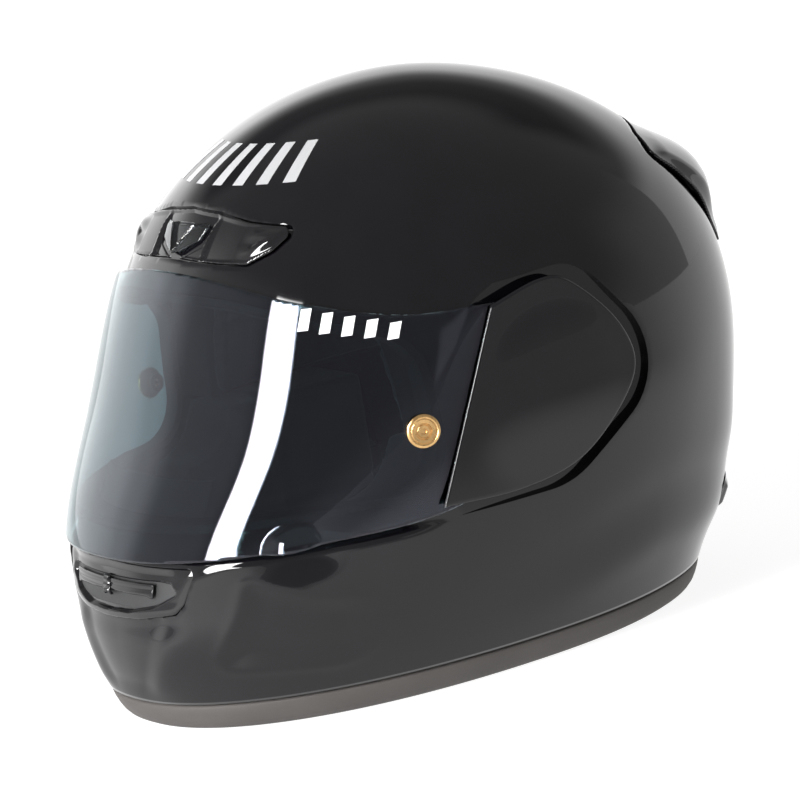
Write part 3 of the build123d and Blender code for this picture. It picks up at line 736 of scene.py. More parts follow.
def make_shell():
    """The painted shell, with its eyeport cut and the pockets of its fittings sunk."""
    columns = spread_columns(SHELL_COLS + 1)[:-1]
    rows = np.linspace(t_of(SHELL_BOTTOM), T_END, SHELL_ROWS)
    t, a = np.meshgrid(rows, columns, indexing="ij")
    recesses = [
        (PODS[1], pod_floor, 0.15),
        (PODS[-1], pod_floor, 0.15),
        (BROW, sunk(2.4), 0.4),
        (CHIN, sunk(2.9), 0.4),
        (SPOILER, sunk(2.0), 0.5),
    ]
    points, quads = carved(t, a, shell_skin, EYEPORT, recesses, 0.4)
    shell = make_object("shell_skin", points, quads)
    sharp_by_angle(shell, 50)
    solidify(shell, SHELL_T - 0.3)
    dress(shell, PAINT, "shell", "shell_paint", "outer_shell")


def band(name, profile, columns):
    """A closed ring round the form from a closed profile of (inset, height)."""
    a = spread_columns(columns + 1)[:-1]
    rings = [raised(np.full(a.shape, t_of(z)), a, np.full(a.shape, -inset)) for inset, z in profile]
    for ring, (_, z) in zip(rings, profile):
        ring[:, 2] = z
    rings.append(rings[0])
    faces = Faces()
    faces.grid(np.array(rings), closed=True, flip=True)
    return make_object(name, *faces.made())


def make_trim():
    profile = [
        (3.2, 12.7), (0.8, 12.1), (0.2, 11.2), (0.0, 8.5), (0.15, 5.5), (0.7, 3.0), (1.7, 1.2),
        (3.2, 0.25), (5.0, 0.0), (10.4, 0.0), (11.6, 0.6), (12.0, 2.0), (12.0, 10.0), (11.6, 12.0),
        (8.0, 12.6), (7.7, 21.6), (6.0, 22.0), (4.9, 21.5), (4.6, 13.2),
    ]
    trim = band("rim_trim", profile, 420)
    dress(trim, RUBBER, "shell", "rim_rubber", "bottom_trim")


# ---------------------------------------------------------------- visor
def soft_limit(x, limit, width):
    """|x| kept under a limit, with a rounded shoulder."""
    over = (limit - np.abs(x)) / width
    kept = limit - width * np.where(over > 20, over, np.log1p(np.exp(np.clip(over, -30, 20))))
    return np.sign(x) * kept


TAB = np.array((91.0, -118.5, 79.0))
TAB_R = 13.5
TAB_OUT = 5.5


def visor_skin(t, a):
    """The visor's outer face: the form moved out, flat over the pivots, with a domed lift tab."""
    p = raised(t, a, np.full(np.shape(t), VISOR_OUT))
    away = np.linalg.norm(p - TAB, axis=-1)
    dome = TAB_OUT * np.clip(1 - (away / TAB_R) ** 2, 0, 1) ** 1.15
    p = p + dome[..., None] * normal(t, a)
    p[..., 0] = soft_limit(p[..., 0], VISOR_FLAT_X, 0.8)
    return p


def visor_outline():
    low, high = math.radians(-112), math.radians(103)
    arc = [
        (PIVOT[0] + ARM_R * math.cos(v), PIVOT[1] + ARM_R * math.sin(v))
        for v in np.linspace(low, high, 40)
    ]
    bottom = flowing([(-200, 76.8), (-180, 77.5), (-110, 81.5), (-58, 84.5), arc[0]])
    top = flowing([arc[-1], (-22, 167.4), (-57, 170), (-90, 181), (-109, 194), (-128, 210)])
    return np.concatenate([bottom, arc[1:-1], top, [(-200, 210)]])


VISOR = Region(visor_outline(), SIDE_AXES, lambda p: p[..., 1] < 45)


def make_visor():
    columns = spread_columns(520, -2.1, 2.1)
    rows = np.linspace(t_of(66), t_of(212), 150)
    t, a = np.meshgrid(rows, columns, indexing="ij")
    t, a, quads = trimmed(t, a, visor_skin, VISOR)
    visor = make_object("visor_shield", visor_skin(t, a).reshape(-1, 3), quads)
    solidify(visor, VISOR_T)
    dress(visor, SMOKE, "visor", "visor_smoke", "visor")


# ---------------------------------------------------------------- side covers
def side_place(y, z, out):
    """The point of the form moved out by out that lies at y and z, on the left side."""
    t = t_of(z)
    a = np.full(np.shape(y), math.pi / 2)
    for _ in range(12):
        here = raised(t, a, out)
        up = raised(t + 0.2, a, out)
        around = raised(t, a + 0.002, out)
        m11, m12 = (up[..., 1] - here[..., 1]) / 0.2, (around[..., 1] - here[..., 1]) / 0.002
        m21, m22 = (up[..., 2] - here[..., 2]) / 0.2, (around[..., 2] - here[..., 2]) / 0.002
        ey, ez = y - here[..., 1], z - here[..., 2]
        det = m11 * m22 - m12 * m21
        t = t + np.clip((ey * m22 - ez * m12) / det, -20, 20)
        a = a + np.clip((ez * m11 - ey * m21) / det, -0.3, 0.3)
    return raised(t, a, out)


def cover_outline():
    low_front, top_front = (-60, 87.5), (-21, 166.5)
    round_rear = [
        (-20, 85.3), (12, 91), (38, 110), (47.6, 127), (40, 147.5), (20, 168), (5, 172),
    ]
    curve = flowing([low_front, *round_rear, top_front], 16)
    seam = np.linspace(top_front, low_front, 60)[1:-1]
    return np.concatenate([curve, seam])


def even_loop(outline, count):
    """The same closed outline with evenly spaced points."""
    closed = np.concatenate([outline, outline[:1]])
    arc = np.concatenate([[0.0], np.cumsum(np.linalg.norm(np.diff(closed, axis=0), axis=1))])
    s = np.linspace(0, arc[-1], count, endpoint=False)
    return np.stack([np.interp(s, arc, closed[:, k]) for k in range(2)], 1)


COVER_CENTRE = np.array((-8.0, 128.0))
EDGE_STEPS = (0.0, 0.12, 0.4, 0.8, 1.4, 2.4, 4.0, 6.5)
EDGE_ROUND = 1.1
COVER_OUT = 1.8
COVER_LOW_X = 123.2
COVER_SOFT = 0.6  # width over which the cover's low front flattens out
COVER_UNDER_X = 122.0
LIP_W = 1.6


def make_cover(side):
    loop = even_loop(cover_outline(), 360)
    away = loop - COVER_CENTRE
    size = np.linalg.norm(away, axis=1)
    rings = [COVER_CENTRE + away * (1 - d / size)[:, None] for d in EDGE_STEPS]
    inner = COVER_CENTRE + away * (1 - EDGE_STEPS[-1] / size)[:, None]
    rings += [COVER_CENTRE + (inner - COVER_CENTRE) * s for s in np.linspace(1, 0.02, 40)[1:]]
    grid = np.array(rings)
    points = side_place(grid[..., 0], grid[..., 1], np.full(grid.shape[:2], COVER_OUT))
    over = (points[..., 0] - COVER_LOW_X) / COVER_SOFT
    points[..., 0] = COVER_LOW_X + COVER_SOFT * np.logaddexp(0.0, over)
    for k, d in enumerate(EDGE_STEPS):
        drop = EDGE_ROUND - math.sqrt(max(EDGE_ROUND**2 - max(EDGE_ROUND - d, 0.0) ** 2, 0.0))
        points[k, :, 0] -= drop
    rim_x = np.where(loop[:, 0] > 24, POD_FLOOR_X + 0.6, COVER_UNDER_X)
    rim_x = np.minimum(rim_x, points[0, :, 0] - 0.3)
    skirt = np.stack([rim_x, loop[:, 0], loop[:, 1]], 1)
    lip = skirt.copy()
    lip[:, 1:] = COVER_CENTRE + away * (1 - LIP_W / size)[:, None]
    under = lip.copy()
    under[:, 0] = np.minimum(COVER_UNDER_X, points[0, :, 0] - 0.3)
    inside = points[-1].copy()
    inside[:, 0] = COVER_UNDER_X
    grid = np.concatenate([[inside, under, lip, skirt], points])
    grid[..., 0] *= side
    faces = Faces()
    faces.grid(grid, closed=True, flip=side > 0)
    cover = make_object(f"cover_{'left' if side > 0 else 'right'}", *faces.made())
    cap(cover)
    cover.data.shade_smooth()
    sharp_by_angle(cover, 55)
    name = "side_cover_left" if side > 0 else "side_cover_right"
    dress(cover, COVER, "shell", "cover_gloss", name)


# ---------------------------------------------------------------- plates on the form
def plate(name, region, out, rows, cols, thickness, material, body, slot, *nodes):
    """A piece that follows the form inside a region. out(p) is its height over the form at p."""

    def place(t, a):
        p = skin(t, a)
        return p + out(p)[..., None] * normal(t, a)

    t, a = np.meshgrid(rows, cols, indexing="ij")
    t, a, quads = trimmed(t, a, place, region)
    piece = make_object(name, place(t, a).reshape(-1, 3), quads)
    sharp_by_angle(piece, 30)
    solidify(piece, thickness)
    dress(piece, material, body, slot, *nodes)


def rows_between(low, high, count):
    return np.linspace(t_of(low), t_of(high), count)


BAY_HALF = [(0, 199.6), (7, 200.4), (20.5, 205.5), (22, 215.6), (0, 217.4)]
BROW_BAY = Region(
    rounded(mirrored(BAY_HALF), [0, 2, 2, 2, 0, 2, 2, 2], 4), FRONT_AXES, BROW.where
)
BEAK_HALF = [(0, 200.6), (4.5, 201), (16.2, 206), (18.5, 212.0), (0, 212.2)]
BEAK = Region(rounded(mirrored(BEAK_HALF), [0, 1, 1, 1, 0, 1, 1, 1], 4), FRONT_AXES, BROW.where)
PLATE_GAP = 0.45


def fitted(region):
    """The region of a plate that lies in a pocket, with a gap all round."""
    return Region(grown(region.outline, -PLATE_GAP), region.axes, region.where)


def brow_height(p):
    """Two dished wings that rise to a lip at their outer ends, with a bay between them."""
    x, _, z = np.moveaxis(p, -1, 0)
    side = np.abs(x)
    edge = BROW.distance(p)
    wing = -2.1 + 0.105 * np.clip(side - 22, 0, 19)
    lip = 2.6 * bump(edge, -5.0, 3.2) * ramp(side, 40.0, 55.0)
    top = 0.7 * ramp(edge, -2.2, -0.9)
    bay = -0.55 * ramp(BROW_BAY.distance(p), 0.9, -0.3)
    arch = 1.6 * ramp(side, 24.5, 21.5) * ramp(side, 19.5, 21.0) * ramp(z, 217.0, 211.0)
    return wing + lip + top + bay + arch - 0.4 * ramp(edge, -0.8, 0.0)


def beak_height(p):
    """A V-shaped beak with two raised lines that meet at its point."""
    x, _, z = np.moveaxis(p, -1, 0)
    side = np.abs(x)
    edge = BEAK.distance(p)
    line = side - (z - 200.4) * 0.80
    ridge = 0.75 * bump(line, 0.0, 0.9)
    dish = -0.9 * ramp(line, -0.4, -3.5)
    wing = -0.12 * np.clip(line, 0, 12)
    return 0.35 + ridge + dish + wing - 0.5 * ramp(edge, -0.9, 0.0)


def make_brow_vent():
    cols = spread_columns(300, -0.95, 0.95)
    plate("brow_vent_wings", fitted(BROW), brow_height, rows_between(194, 221, 70), cols, 1.0,
          VENT, "shell", "vent_gloss", "brow_vent_housing")
    cols = spread_columns(110, -0.33, 0.33)
    plate("brow_vent_beak", BEAK, beak_height, rows_between(199, 214.5, 60), cols, 1.0,
          VENT_SMOKE, "brow_vent", "vent_smoke", "brow_vent_slider")


CRESCENT = rounded(
    mirrored([(0, 54.8), (18, 55.4), (34, 58.6), (47, 64.5), (43, 69.6), (36, 70.4), (0, 70.4)]),
    [0, 20, 14, 2, 2, 2, 0, 2, 2, 2, 14, 20], 6,
)
MOUTH = Region(CRESCENT, FRONT_AXES, CHIN.where)
MOUTH_BACK = Region(grown(CRESCENT, -0.8), FRONT_AXES, CHIN.where)
MOUTH_DEPTH = 1.75
SHUTTER_HALF = [(0, 64.2), (29, 63.6), (33, 62.2), (34, 69.0), (0, 69.2)]
SHUTTER_RADII = [0, 0.6, 0.6, 0.6, 0, 0.6, 0.6, 0.6]
SHUTTER = Region(rounded(mirrored(SHUTTER_HALF), SHUTTER_RADII, 3), FRONT_AXES, CHIN.where)
KNOB_CORNERS = [(-3.2, 61.4), (-1.2, 62.6), (1.2, 62.6), (3.2, 61.4), (2.6, 70.6), (-2.6, 70.6)]
KNOB = Region(rounded(KNOB_CORNERS, [0.4] * 6, 3), FRONT_AXES, CHIN.where)
FLUTE = 2.2  # from one flute of the knob to the next


def chin_vent_height(p):
    """A glossy insert with a thick lower lip under a dark crescent mouth."""
    x, _, z = np.moveaxis(p, -1, 0)
    edge = CHIN.distance(p)
    lip = 0.9 * ramp(z, 62.0, 55.0) + 0.5 * ramp(np.abs(x), 40.0, 52.0)
    upper = -1.1 * ramp(z, 67.0, 71.0) * ramp(np.abs(x), 50.0, 38.0)
    mouth = -2.5 * ramp(MOUTH.distance(p), 0.3, -1.6)
    return 0.1 + (lip + upper) * ramp(edge, 0.0, -4.0) + mouth - 0.6 * ramp(edge, -1.0, 0.0)


def shutter_height(p):
    edge = SHUTTER.distance(p)
    return 0.35 - 0.35 * ramp(edge, -0.7, 0.0) - 0.25 * bump(p[..., 2], 66.5, 0.8)


def knob_height(p):
    edge = KNOB.distance(p)
    fluted = 0.3 * np.cos(p[..., 2] * 2 * math.pi / FLUTE)
    return 1.3 + fluted * ramp(edge, -0.4, -1.2) - 0.9 * ramp(edge, -1.0, 0.0)


def make_chin_vent():
    """The insert, the back of its mouth, and the shutter with its knob."""
    plate("chin_vent_insert", fitted(CHIN), chin_vent_height, rows_between(49, 80, 90),
          spread_columns(300, -0.62, 0.62), 1.0, VENT, "shell", "vent_gloss", "chin_vent_housing")
    plate("chin_vent_shutter", SHUTTER, shutter_height, rows_between(61, 71, 40),
          spread_columns(200, -0.4, 0.4), 1.3, VENT, "chin_vent", "vent_gloss", "chin_vent_slider")
    plate("chin_vent_knob", KNOB, knob_height, rows_between(60, 72, 40),
          spread_columns(40, -0.08, 0.08), 1.4, VENT, "chin_vent", "vent_gloss")
    plate("chin_vent_mouth", MOUTH_BACK, lambda p: np.full(p.shape[:-1], -MOUTH_DEPTH),
          rows_between(53, 72, 40), spread_columns(150, -0.45, 0.45), 0.3, MESH_PLASTIC, "shell",
          "mesh_plastic")


def spoiler_height(p):
    """A low wing that grows out of the crown to a blunt tail, hollow underneath."""
    x, _, z = np.moveaxis(p, -1, 0)
    side = np.abs(x) / 70.0
    edge = SPOILER.distance(p)
    rise = 10.5 * ramp(z, 214.0, 184.0)
    tail = 1.0 - 0.72 * ramp(z, 181.0, 160.0)
    across = 1.0 - 0.55 * np.clip(side, 0, 1.1) ** 2.4
    inner = ramp(edge, 0.0, -9.0)
    return 0.1 + rise * tail * across * (0.35 + 0.65 * inner) - 0.45 * ramp(edge, -1.0, 0.0)


def make_spoiler():
    region = Region(grown(SPOILER_OUTLINE, -0.75), FRONT_AXES, SPOILER.where)
    cols = spread_columns(260, math.pi - 0.95, math.pi + 0.95)
    plate("spoiler_wing", region, spoiler_height, rows_between(149, 221, 170), cols, 1.9,
          PAINT, "shell", "shell_paint", "rear_spoiler")


NECK_OUTLINE = rounded([(-68, 46), (68, 46), (62, 32), (-62, 32)], (3, 3, 3, 3), 5)
NECK = Region(NECK_OUTLINE, FRONT_AXES, lambda p: p[..., 1] > 50)
NECK_SLOTS = [
    Region(rounded([(x - 10, 35.5), (x + 10, 35.5), (x + 10, 40.5), (x - 10, 40.5)], [2.2] * 4, 4),
           FRONT_AXES, lambda p: p[..., 1] > 50)
    for x in (-42, -14, 14, 42)
]


def neck_height(p):
    edge = NECK.distance(p)
    out = 2.6 - 2.2 * ramp(edge, -4.0, 0.0)
    for slot_region in NECK_SLOTS:
        out -= 1.9 * ramp(slot_region.distance(p), 0.5, -0.8)
    return out


def make_neck_vent():
    cols = spread_columns(300, math.pi - 0.72, math.pi + 0.72)
    plate("neck_vent_trim", NECK, neck_height, rows_between(29, 49, 60), cols, 0.2,
          VENT, "shell", "vent_gloss", "neck_vent")


# ---------------------------------------------------------------- tear-off posts
POST = np.array((118.6, -62.0, 121.6))
POST_TURN = math.radians(19.0)
POST_R = 7.3
POST_CROWN = 1.35
POST_PROFILE = [
    (0.0, 0.55), (1.1, 0.55), (1.3, 0.95), (2.6, 1.0), (2.9, 0.7), (3.3, 0.7), (3.6, 1.2), (5.2, POST_CROWN),
    (5.5, 1.05), (5.9, 1.05), (6.2, 1.3), (6.9, 1.15), (POST_R, 0.7), (POST_R, 0.1), (7.0, -0.3),
    (2.2, -0.45),
    (2.0, -1.0), (2.0, -4.6), (0.0, -4.6),
]


def make_posts():
    """Two turned brass heads on the visor, with fine rings on the face."""
    low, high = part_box("tear_off_posts")
    faces = Faces()
    for side in (1, -1):
        out = np.array((side * math.cos(POST_TURN), -math.sin(POST_TURN), 0.0))
        across = np.cross((0.0, 0.0, 1.0), out)
        face = max(high.x, -low.x) / MM
        centre = POST * (side, 1, 1)
        reach = face - abs((centre + out * POST_CROWN)[0]) - POST_R * math.sin(POST_TURN)
        centre = centre + out * (reach / math.cos(POST_TURN))
        angles = np.linspace(0, 2 * math.pi, 96, endpoint=False)
        rings = []
        for radius, depth in POST_PROFILE:
            spoke = np.outer(np.cos(angles), across) + np.outer(np.sin(angles), (0.0, 0.0, 1.0))
            rings.append(centre + radius * spoke + out * depth)
        faces.grid(np.array(rings), closed=True, flip=False)
    posts = make_object("post_heads", *faces.made())
    sharp_by_angle(posts, 40)
    dress(posts, BRASS, "visor", "post_brass", "tear_off_posts")


# ---------------------------------------------------------------- soft pieces
RIPPLE_TURNS = np.array((0.21, 0.17, 0.19))
RIPPLE_START = np.array((1.3, 0.0, 0.0))
RIPPLE_OUT = 0.35


def soften(node, name, voxel, puff, smooth, channels):
    """A padded piece from its plain CAD solid: rounded, filled out, and sewn along its channels.

    Each channel is the axis it lies across, its place on that axis, its width and its depth.
    """
    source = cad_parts[node]
    draft = bpy.data.objects.new(name + "_draft", source.data.copy())
    bpy.context.scene.collection.objects.link(draft)
    remesh = draft.modifiers.new("voxels", "REMESH")
    remesh.mode = "VOXEL"
    remesh.voxel_size = voxel * MM
    relax = draft.modifiers.new("relax", "SMOOTH")
    relax.iterations = smooth
    relax.factor = 0.6
    evaluated = draft.evaluated_get(bpy.context.evaluated_depsgraph_get())
    mesh = bpy.data.meshes.new_from_object(evaluated)
    bpy.data.objects.remove(draft)
    count = len(mesh.vertices)
    points = np.zeros(count * 3)
    normals = np.zeros(count * 3)
    mesh.vertices.foreach_get("co", points)
    mesh.vertices.foreach_get("normal", normals)
    points = points.reshape(-1, 3) / MM
    normals = normals.reshape(-1, 3)
    out = np.full(count, puff)
    for axis, place, width, depth in channels:
        out -= depth * bump(points[:, axis], place, width)
    waves = np.sin(points * RIPPLE_TURNS + RIPPLE_START)
    out += RIPPLE_OUT * np.prod(waves, axis=1)
    points += normals * out[:, None]
    mesh.vertices.foreach_set("co", (points * MM).ravel())
    mesh.update()
    mesh.shade_smooth()
    obj = bpy.data.objects.new(name, mesh)
    bpy.context.scene.collection.objects.link(obj)
    dress(obj, LINER, "shell", "liner_fabric", node)


def make_pads():
    """The crown pad, neck roll, cheek pads and strap sleeves, with their sewn channels."""
    ribs = [(0, x, 1.6, 1.6) for x in (-36.0, -12.0, 12.0, 36.0)] + [(2, 150.0, 1.6, 1.4)]
    soften("crown_pad", "crown_cushion", 2.6, 0.1, 8, ribs)
    tucks = [(0, x, 1.8, 1.6) for x in (-50.0, 0.0, 50.0)]
    soften("neck_roll", "neck_cushion", 2.2, 0.3, 8, tucks)
    seams = [(1, -30.0, 1.6, 1.7), (2, 62.0, 1.6, 1.5)]
    for side_name in ("left", "right"):
        soften(f"cheek_pad_{side_name}", f"cheek_cushion_{side_name}", 2.2, 0.1, 10, seams)
    for side_name in ("left", "right"):
        stitch = [(2, 27.0, 0.8, 0.5)]
        soften(f"strap_pad_{side_name}", f"strap_sleeve_{side_name}", 0.9, 0.1, 6, stitch)


STRAP_Y = 34.0
STRAP_W = 21.6
STRAP_T = 1.7
STRAP_TOP_Z = 66.0
STRAP_LOW_Z = 2.1
STRAP_BENDS = (12.0, 14.0, 14.0)
EYE_LINE_R = 2.25
EYE_T = 1.2
RING_HALF_WIRE = 1.5


def strap_line(side):
    """The strap's middle line in x and z, from its anchor plate to its end on the ground."""
    low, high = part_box("strap_left" if side > 0 else "strap_right")
    start = max(abs(low.x), abs(high.x)) / MM - 0.9
    end = min(abs(low.x), abs(high.x)) / MM
    if side < 0:
        end += 4.0
    corners = [
        (start, STRAP_TOP_Z), (start, 46.0), (71.0, 14.0), (56.0, STRAP_LOW_Z), (end, STRAP_LOW_Z),
    ]
    line = [np.array(corners[0])]
    for before, here, after, r in zip(corners, corners[1:], corners[2:], STRAP_BENDS):
        line += list(rounded([before, here, after], (0, r, 0), 9)[1:-1])
    line.append(np.array(corners[-1]))
    return np.array(line)


def ribbon(faces, line, side, y_low, y_high, thick, flip):
    """A flat band along a line in x and z, with rounded selvedges."""
    along = np.gradient(line, axis=0)
    along /= np.linalg.norm(along, axis=1, keepdims=True)
    out = np.stack([along[:, 1], -along[:, 0]], 1)
    half = thick / 2
    edge = 0.35 * half
    section = [
        (y_low + 0.5, half), (y_high - 0.5, half), (y_high, edge), (y_high, -edge),
        (y_high - 0.5, -half), (y_low + 0.5, -half), (y_low, -edge), (y_low, edge),
    ]
    rings = []
    for y, d in section + section[:1]:
        p = line + out * d
        rings.append(np.stack([side * p[:, 0], np.full(len(p), y), p[:, 1]], 1))
    faces.grid(np.array(rings), flip=flip)


def make_straps():
    """Webbing bands, the right one ending in two sewn eyes round the ring bars."""
    for side in (1, -1):
        faces = Faces()
        line = strap_line(side)
        ribbon(faces, line, side, STRAP_Y - STRAP_W / 2, STRAP_Y + STRAP_W / 2, STRAP_T, side > 0)
        if side < 0:
            for node in ("d_ring_lower", "d_ring_upper"):
                low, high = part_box(node)
                bar = np.array((-low.x / MM - RING_HALF_WIRE, (low.z + high.z) / 2 / MM))
                turns = np.linspace(0, 2 * math.pi, 33)
                eye = bar + EYE_LINE_R * np.stack([np.cos(turns), np.sin(turns)], 1)
                ribbon(faces, eye, side, STRAP_Y - 10.6, STRAP_Y + 10.6, EYE_T, False)
        name = "left" if side > 0 else "right"
        strap = make_object(f"chin_strap_{name}", *faces.made())
        cap(strap, 10)
        sharp_by_angle(strap, 45)
        dress(strap, WEBBING, "shell", "webbing", f"strap_{name}")


# ---------------------------------------------------------------- generic marks
MARK_OUT = 0.12  # how far a printed bar stands off its surface


def front_patch(corners, out, steps=8):
    """A thin patch over the form from four corners (a, t), anticlockwise seen from outside."""
    p = np.array(corners, float)
    u, v = np.meshgrid(np.linspace(0, 1, steps), np.linspace(0, 1, steps))
    u, v = u[..., None], v[..., None]
    low = (1 - u) * p[0] + u * p[1]
    high = (1 - u) * p[3] + u * p[2]
    flat = (1 - v) * low + v * high
    return raised(flat[..., 1], flat[..., 0], np.full(flat.shape[:2], out))


def bar_row(name, count, first, pitch, heights, half_width, lean, out, material, body, slot):
    """A row of slanted bars. Each is half_width wide to each side and leans over by lean."""
    faces = Faces()
    for k in range(count):
        centre = first + pitch * k
        low, high = (t_of(z) for z in heights(k))
        over = centre + lean
        corners = [
            (centre - half_width, low), (centre + half_width, low),
            (over + half_width, high), (over - half_width, high),
        ]
        faces.grid(front_patch(corners, out))
    dress(make_object(name, *faces.made()), material, body, slot)


def make_marks():
    """Plain slanted bars on the forehead and on the visor, in place of any mark."""
    bar_row("forehead_bars", 7, -0.40, 0.165, lambda k: (226.0, 240.0), 0.038, 0.06,
            MARK_OUT, DECAL, "shell", "shell_paint")
    bar_row("visor_bars", 5, 0.72, 0.080, lambda k: (168.0 - 2.0 * k, 176.5 - 2.5 * k), 0.020, 0.014,
            VISOR_OUT + MARK_OUT, DECAL_WHITE, "visor", "visor_smoke")


# ---------------------------------------------------------------- world, floor and camera
def value_node(tree, operation, first, second=None):
    node = tree.nodes.new("ShaderNodeMath")
    node.operation = operation
    for k, value in enumerate((first, second)):
        if value is None:
            continue
        if isinstance(value, (int, float)):
            node.inputs[k].default_value = value
        else:
            tree.links.new(value, node.inputs[k])
    return node.outputs[0]


def edge_node(tree, value, low, high):
    """0 at low, 1 at high, smooth between."""
    node = tree.nodes.new("ShaderNodeMapRange")
    node.interpolation_type = "SMOOTHSTEP"
    if low <= high:
        node.inputs["From Min"].default_value = low
        node.inputs["From Max"].default_value = high
    else:
        node.inputs["From Min"].default_value = high
        node.inputs["From Max"].default_value = low
        node.inputs["To Min"].default_value = 1.0
        node.inputs["To Max"].default_value = 0.0
    tree.links.new(value, node.inputs["Value"])
    return node.outputs["Result"]


def panel_node(tree, azimuth, elevation, sides, heights, soft):
    """1 inside a patch of sky between two azimuths and two elevations, with soft edges."""
    parts = [
        edge_node(tree, azimuth, sides[0] - soft, sides[0] + soft),
        edge_node(tree, azimuth, sides[1] + soft, sides[1] - soft),
        edge_node(tree, elevation, heights[0] - soft, heights[0] + soft),
        edge_node(tree, elevation, heights[1] + soft, heights[1] - soft),
    ]
    result = parts[0]
    for part in parts[1:]:
        result = value_node(tree, "MULTIPLY", result, part)
    return result


# Each patch: azimuth from the front (-Y) towards +X in degrees, elevation, radiance, edge softness.
AMBIENT = 0.36
STRIP_LIGHT = 40.0
LEAN_LOW = 8.0  # the tall bright strip leans: its foot stands this much further round
PATCHES = [
    ((-190, -60), (-40, 22), 0.90, 6.0),
    ((-170, -75), (30, 48), -0.22, 6.0),
    ((-60, 2), (-10, 36), 0.42, 8.0),
    ((3.0, 18.0), (-5, 37), STRIP_LIGHT, 0.8),
    ((85, 100), (4, 18), 0.40, 2.0),
    ((150, 190), (-40, 24), 0.30, 12.0),
    ((-115, -45), (-30, 26), 0.80, 8.0),
    ((55, 150), (-40, 3), 0.22, 9.0),
    ((-20, 55), (-40, 2), 0.35, 9.0),
]


def make_world():
    """An even grey sky with soft lit patches and one bright strip."""
    world = bpy.data.worlds.new("studio")
    bpy.context.scene.world = world
    world.use_nodes = True
    tree = world.node_tree
    places = tree.nodes.new("ShaderNodeTexCoord")
    split = tree.nodes.new("ShaderNodeSeparateXYZ")
    tree.links.new(places.outputs["Generated"], split.inputs[0])
    x, y, z = split.outputs
    turn = value_node(tree, "ARCTAN2", x, value_node(tree, "MULTIPLY", y, -1.0))
    azimuth = value_node(tree, "MULTIPLY", turn, math.degrees(1))
    elevation = value_node(tree, "MULTIPLY", value_node(tree, "ARCSINE", z), math.degrees(1))
    lean = value_node(tree, "MULTIPLY", edge_node(tree, elevation, 9.0, -7.0), LEAN_LOW)
    leaned = value_node(tree, "SUBTRACT", azimuth, lean)
    total = AMBIENT
    for sides, heights, light, soft in PATCHES:
        turned = leaned if light == STRIP_LIGHT else azimuth
        patch = panel_node(tree, turned, elevation, sides, heights, soft)
        part = value_node(tree, "MULTIPLY", patch, light)
        total = value_node(tree, "ADD", part, total)
    background = tree.nodes["Background"]
    background.inputs["Color"].default_value = (1.0, 1.0, 1.0, 1.0)
    tree.links.new(total, background.inputs["Strength"])


# Each patch of floor glow, painted light where its amount is positive and painted shade where it is
# negative: azimuths, edge softness, where it starts and ends in metres, amount.
FLOOR_RADIUS = 7.0
FLOOR_GLOW = 0.86
FLOOR_PATCHES = [
    ((52, 150), 24.0, (0.34, 0.60), (9.0, 8.0), -0.62),
    ((-12, 26), 14.0, (0.20, 0.32), (1.3, 0.6), 0.9),
    ((-95, -10), 16.0, (0.20, 0.34), (1.6, 0.8), 0.2),
]


def make_floor():
    bpy.ops.mesh.primitive_circle_add(vertices=128, radius=FLOOR_RADIUS, fill_type="NGON")
    floor = bpy.context.object
    floor.name = "studio_floor"
    material, tree, shader = new_material("floor_white")
    cloud = noise_node(tree, 3.0, 2.0)
    greys = ramp_node(tree, cloud, [(0.3, (0.34, 0.34, 0.34)), (0.7, (0.36, 0.36, 0.36))])
    tree.links.new(greys, shader.inputs["Base Color"])
    shader.inputs["Roughness"].default_value = 0.9
    shader.inputs["Specular IOR Level"].default_value = 0.0
    shader.inputs["Emission Color"].default_value = (1.0, 1.0, 1.0, 1.0)
    split = tree.nodes.new("ShaderNodeSeparateXYZ")
    places = tree.nodes.new("ShaderNodeTexCoord")
    tree.links.new(places.outputs["Object"], split.inputs[0])
    x, y, _ = split.outputs
    turn = value_node(tree, "ARCTAN2", x, value_node(tree, "MULTIPLY", y, -1.0))
    azimuth = value_node(tree, "MULTIPLY", turn, math.degrees(1))
    far_x = value_node(tree, "MULTIPLY", x, x)
    far_y = value_node(tree, "MULTIPLY", y, y)
    away = value_node(tree, "SQRT", value_node(tree, "ADD", far_x, far_y))
    light = FLOOR_GLOW
    # Over the floor's even glow, each patch adds a painted pool of light or takes away light as painted
    # shade, by the sign of its amount
    for sides, soft, near, far, amount in FLOOR_PATCHES:
        sector = value_node(
            tree, "MULTIPLY",
            edge_node(tree, azimuth, sides[0] - soft, sides[0] + soft),
            edge_node(tree, azimuth, sides[1] + soft, sides[1] - soft),
        )
        reach = value_node(
            tree, "MULTIPLY", edge_node(tree, away, *near), edge_node(tree, away, *far)
        )
        part = value_node(tree, "MULTIPLY", value_node(tree, "MULTIPLY", sector, reach), amount)
        light = value_node(tree, "ADD", part, light)
    tree.links.new(light, shader.inputs["Emission Strength"])
    floor.data.materials.append(material)


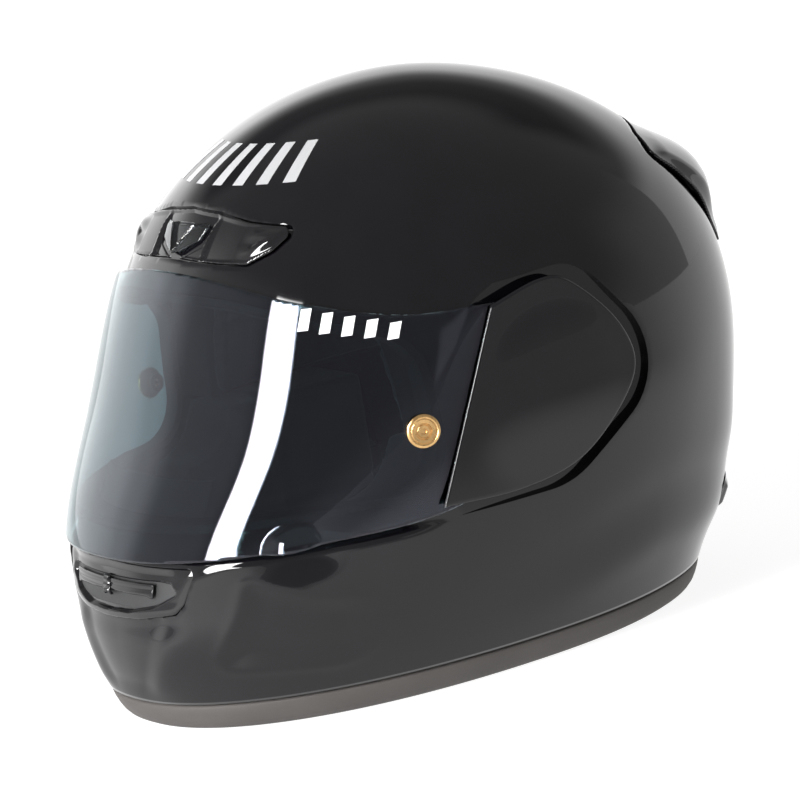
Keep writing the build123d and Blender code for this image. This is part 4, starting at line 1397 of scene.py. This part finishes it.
CAMERA_TURNS = (59.243, 11.752, -9.424)  # azimuth from the front, elevation, roll
CAMERA_AWAY = 2.0
CAMERA_LENS = 199.1
CAMERA_AIM = (0.0, 0.007, 0.130)
AIM_LEFT, AIM_DOWN = 0.00232, 0.02258


def make_camera():
    """A long lens at the side and slightly above, rolled a little."""
    azimuth, elevation, roll = (math.radians(v) for v in CAMERA_TURNS)
    level = math.cos(elevation)
    back = Vector((math.sin(azimuth) * level, -math.cos(azimuth) * level, math.sin(elevation)))
    right = Vector((math.cos(azimuth), math.sin(azimuth), 0.0))
    up = back.cross(right)
    image_right = right * math.cos(roll) + up * math.sin(roll)
    image_up = up * math.cos(roll) - right * math.sin(roll)
    data = bpy.data.cameras.new("camera")
    data.sensor_width = 36.0
    data.lens = CAMERA_LENS
    data.clip_end = 60.0
    camera = bpy.data.objects.new("camera", data)
    bpy.context.scene.collection.objects.link(camera)
    aim = Vector(CAMERA_AIM) - image_right * AIM_LEFT - image_up * AIM_DOWN
    place = aim + back * CAMERA_AWAY
    camera.matrix_world = Matrix(
        (
            (image_right.x, image_up.x, back.x, place.x),
            (image_right.y, image_up.y, back.y, place.y),
            (image_right.z, image_up.z, back.z, place.z),
            (0.0, 0.0, 0.0, 1.0),
        )
    )
    bpy.context.scene.camera = camera


make_camera()
make_world()
make_floor()
bpy.context.scene.view_settings.view_transform = "Standard"

KEPT_NODES = {
    "eyeport_gasket": SEAL, "eps_liner": FOAM, "chin_bar_eps": FOAM, "cheek_pad_snaps": STEEL,
    "chin_vent_mesh": MESH_PLASTIC, "pivot_base_left": BASE_PLASTIC, "pivot_base_right": BASE_PLASTIC,
    "base_screws": STEEL, "breath_guard": SEAL, "chin_curtain": CURTAIN, "anchor_plates": STEEL,
    "anchor_rivets": STEEL, "strap_snap": STEEL, "tear_off_nuts": BASE_PLASTIC,
    "d_ring_lower": RING_STEEL, "d_ring_upper": RING_STEEL,
}
for kept_name, kept_material in KEPT_NODES.items():
    paint_node(kept_name, kept_material)

make_shell()
make_trim()
make_visor()
for cover_side in (1, -1):
    make_cover(cover_side)
make_brow_vent()
make_chin_vent()
make_spoiler()
make_neck_vent()
make_posts()
make_pads()
make_straps()
make_marks()
